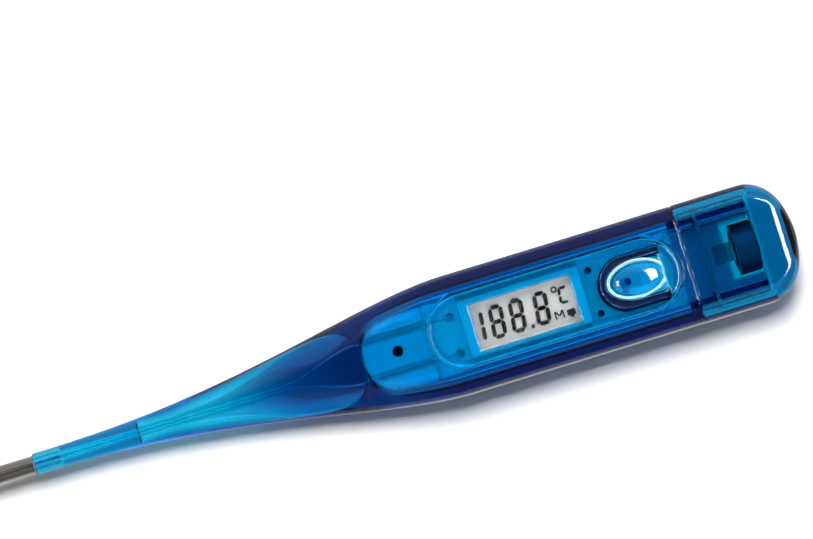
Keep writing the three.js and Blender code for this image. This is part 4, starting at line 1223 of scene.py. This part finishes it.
def make_world():
    """A dim studio, palest beyond the picture's upper edge and almost black straight overhead."""
    world = bpy.data.worlds.new("studio")
    world.use_nodes = True
    nodes, links = world.node_tree.nodes, world.node_tree.links
    place = nodes.new("ShaderNodeTexCoord")
    parts = nodes.new("ShaderNodeSeparateXYZ")
    links.new(place.outputs["Generated"], parts.inputs["Vector"])
    facing = nodes.new("ShaderNodeVectorMath")
    facing.operation = "DOT_PRODUCT"
    links.new(place.outputs["Generated"], facing.inputs[0])
    facing.inputs[1].default_value = GLOW_DIRECTION
    glow = ranged(nodes, links, facing.outputs["Value"], (0.12, 0.35), (-0.6, 0.95), "SMOOTHSTEP")
    overhead = ranged(nodes, links, parts.outputs["Z"], (1.0, 0.02), (0.80, 0.97), "SMOOTHSTEP")
    strength = nodes.new("ShaderNodeMath")
    strength.operation = "MULTIPLY"
    links.new(glow, strength.inputs[0])
    links.new(overhead, strength.inputs[1])
    nodes["Background"].inputs["Color"].default_value = (1, 1, 1, 1)
    links.new(strength.outputs["Value"], nodes["Background"].inputs["Strength"])
    bpy.context.scene.world = world


def set_view():
    scene = bpy.context.scene
    scene.view_settings.view_transform = "Standard"
    scene.view_settings.look = "None"
    scene.cycles.max_bounces = 48
    scene.cycles.transmission_bounces = 48
    scene.cycles.diffuse_bounces = 6
    scene.cycles.glossy_bounces = 12
    scene.cycles.transparent_max_bounces = 16


# ---------------- the scene

coat_shank(MATERIALS["probe_steel"])
make_camera()
dress_cad_nodes()
make_housing()
make_cap()
make_panel()
make_lens()
make_button()
make_digits()
make_unit_sign()
make_memory_sign()
bevelled_plate("polarizer_film", "lcd_front_polarizer", "polarizer", 0.02)
bevelled_plate("front_glass", "lcd_front_glass", "glass")
bevelled_plate("rear_glass", "lcd_rear_glass", "glass")
bevelled_plate("reflector_film", "lcd_rear_reflector", "reflector", 0.02)
make_display_frame()
make_chassis()
make_board()
bevelled_plate("chip_capacitor", "bypass_capacitor", "ceramic", *CHIP_EDGES)
bevelled_plate("chip_resistor_left", "reference_resistor", "black_epoxy", *CHIP_EDGES)
bevelled_plate("chip_resistor_right", "timing_resistor", "black_epoxy", *CHIP_EDGES)
make_pin()
make_tip()
make_bead()
make_lead_wire(1, "lead_wire_left", "sensor_wire_left")
make_lead_wire(-1, "lead_wire_right", "sensor_wire_right")
make_spring("buzzer_center_spring", "buzzer_spring_middle")
make_spring("buzzer_rim_spring", "buzzer_spring_side")
disc("buzzer_disc", "buzzer_plate", "brass")
disc("buzzer_crystal", "buzzer_ceramic", "ceramic")
disc("buzzer_glue", "buzzer_adhesive_ring", "dark_rubber", 3.8)
dome("chip_cover", "chip_blob", "black_epoxy")
disc("solder_left", "solder_joint_left", "solder")
disc("solder_right", "solder_joint_right", "solder")
make_cell()
make_cap_ring()
make_floor()
make_world()
for light_name, setting in LIGHTS.items():
    area_light(light_name, *setting)
set_view()

bpy.context.view_layer.update()
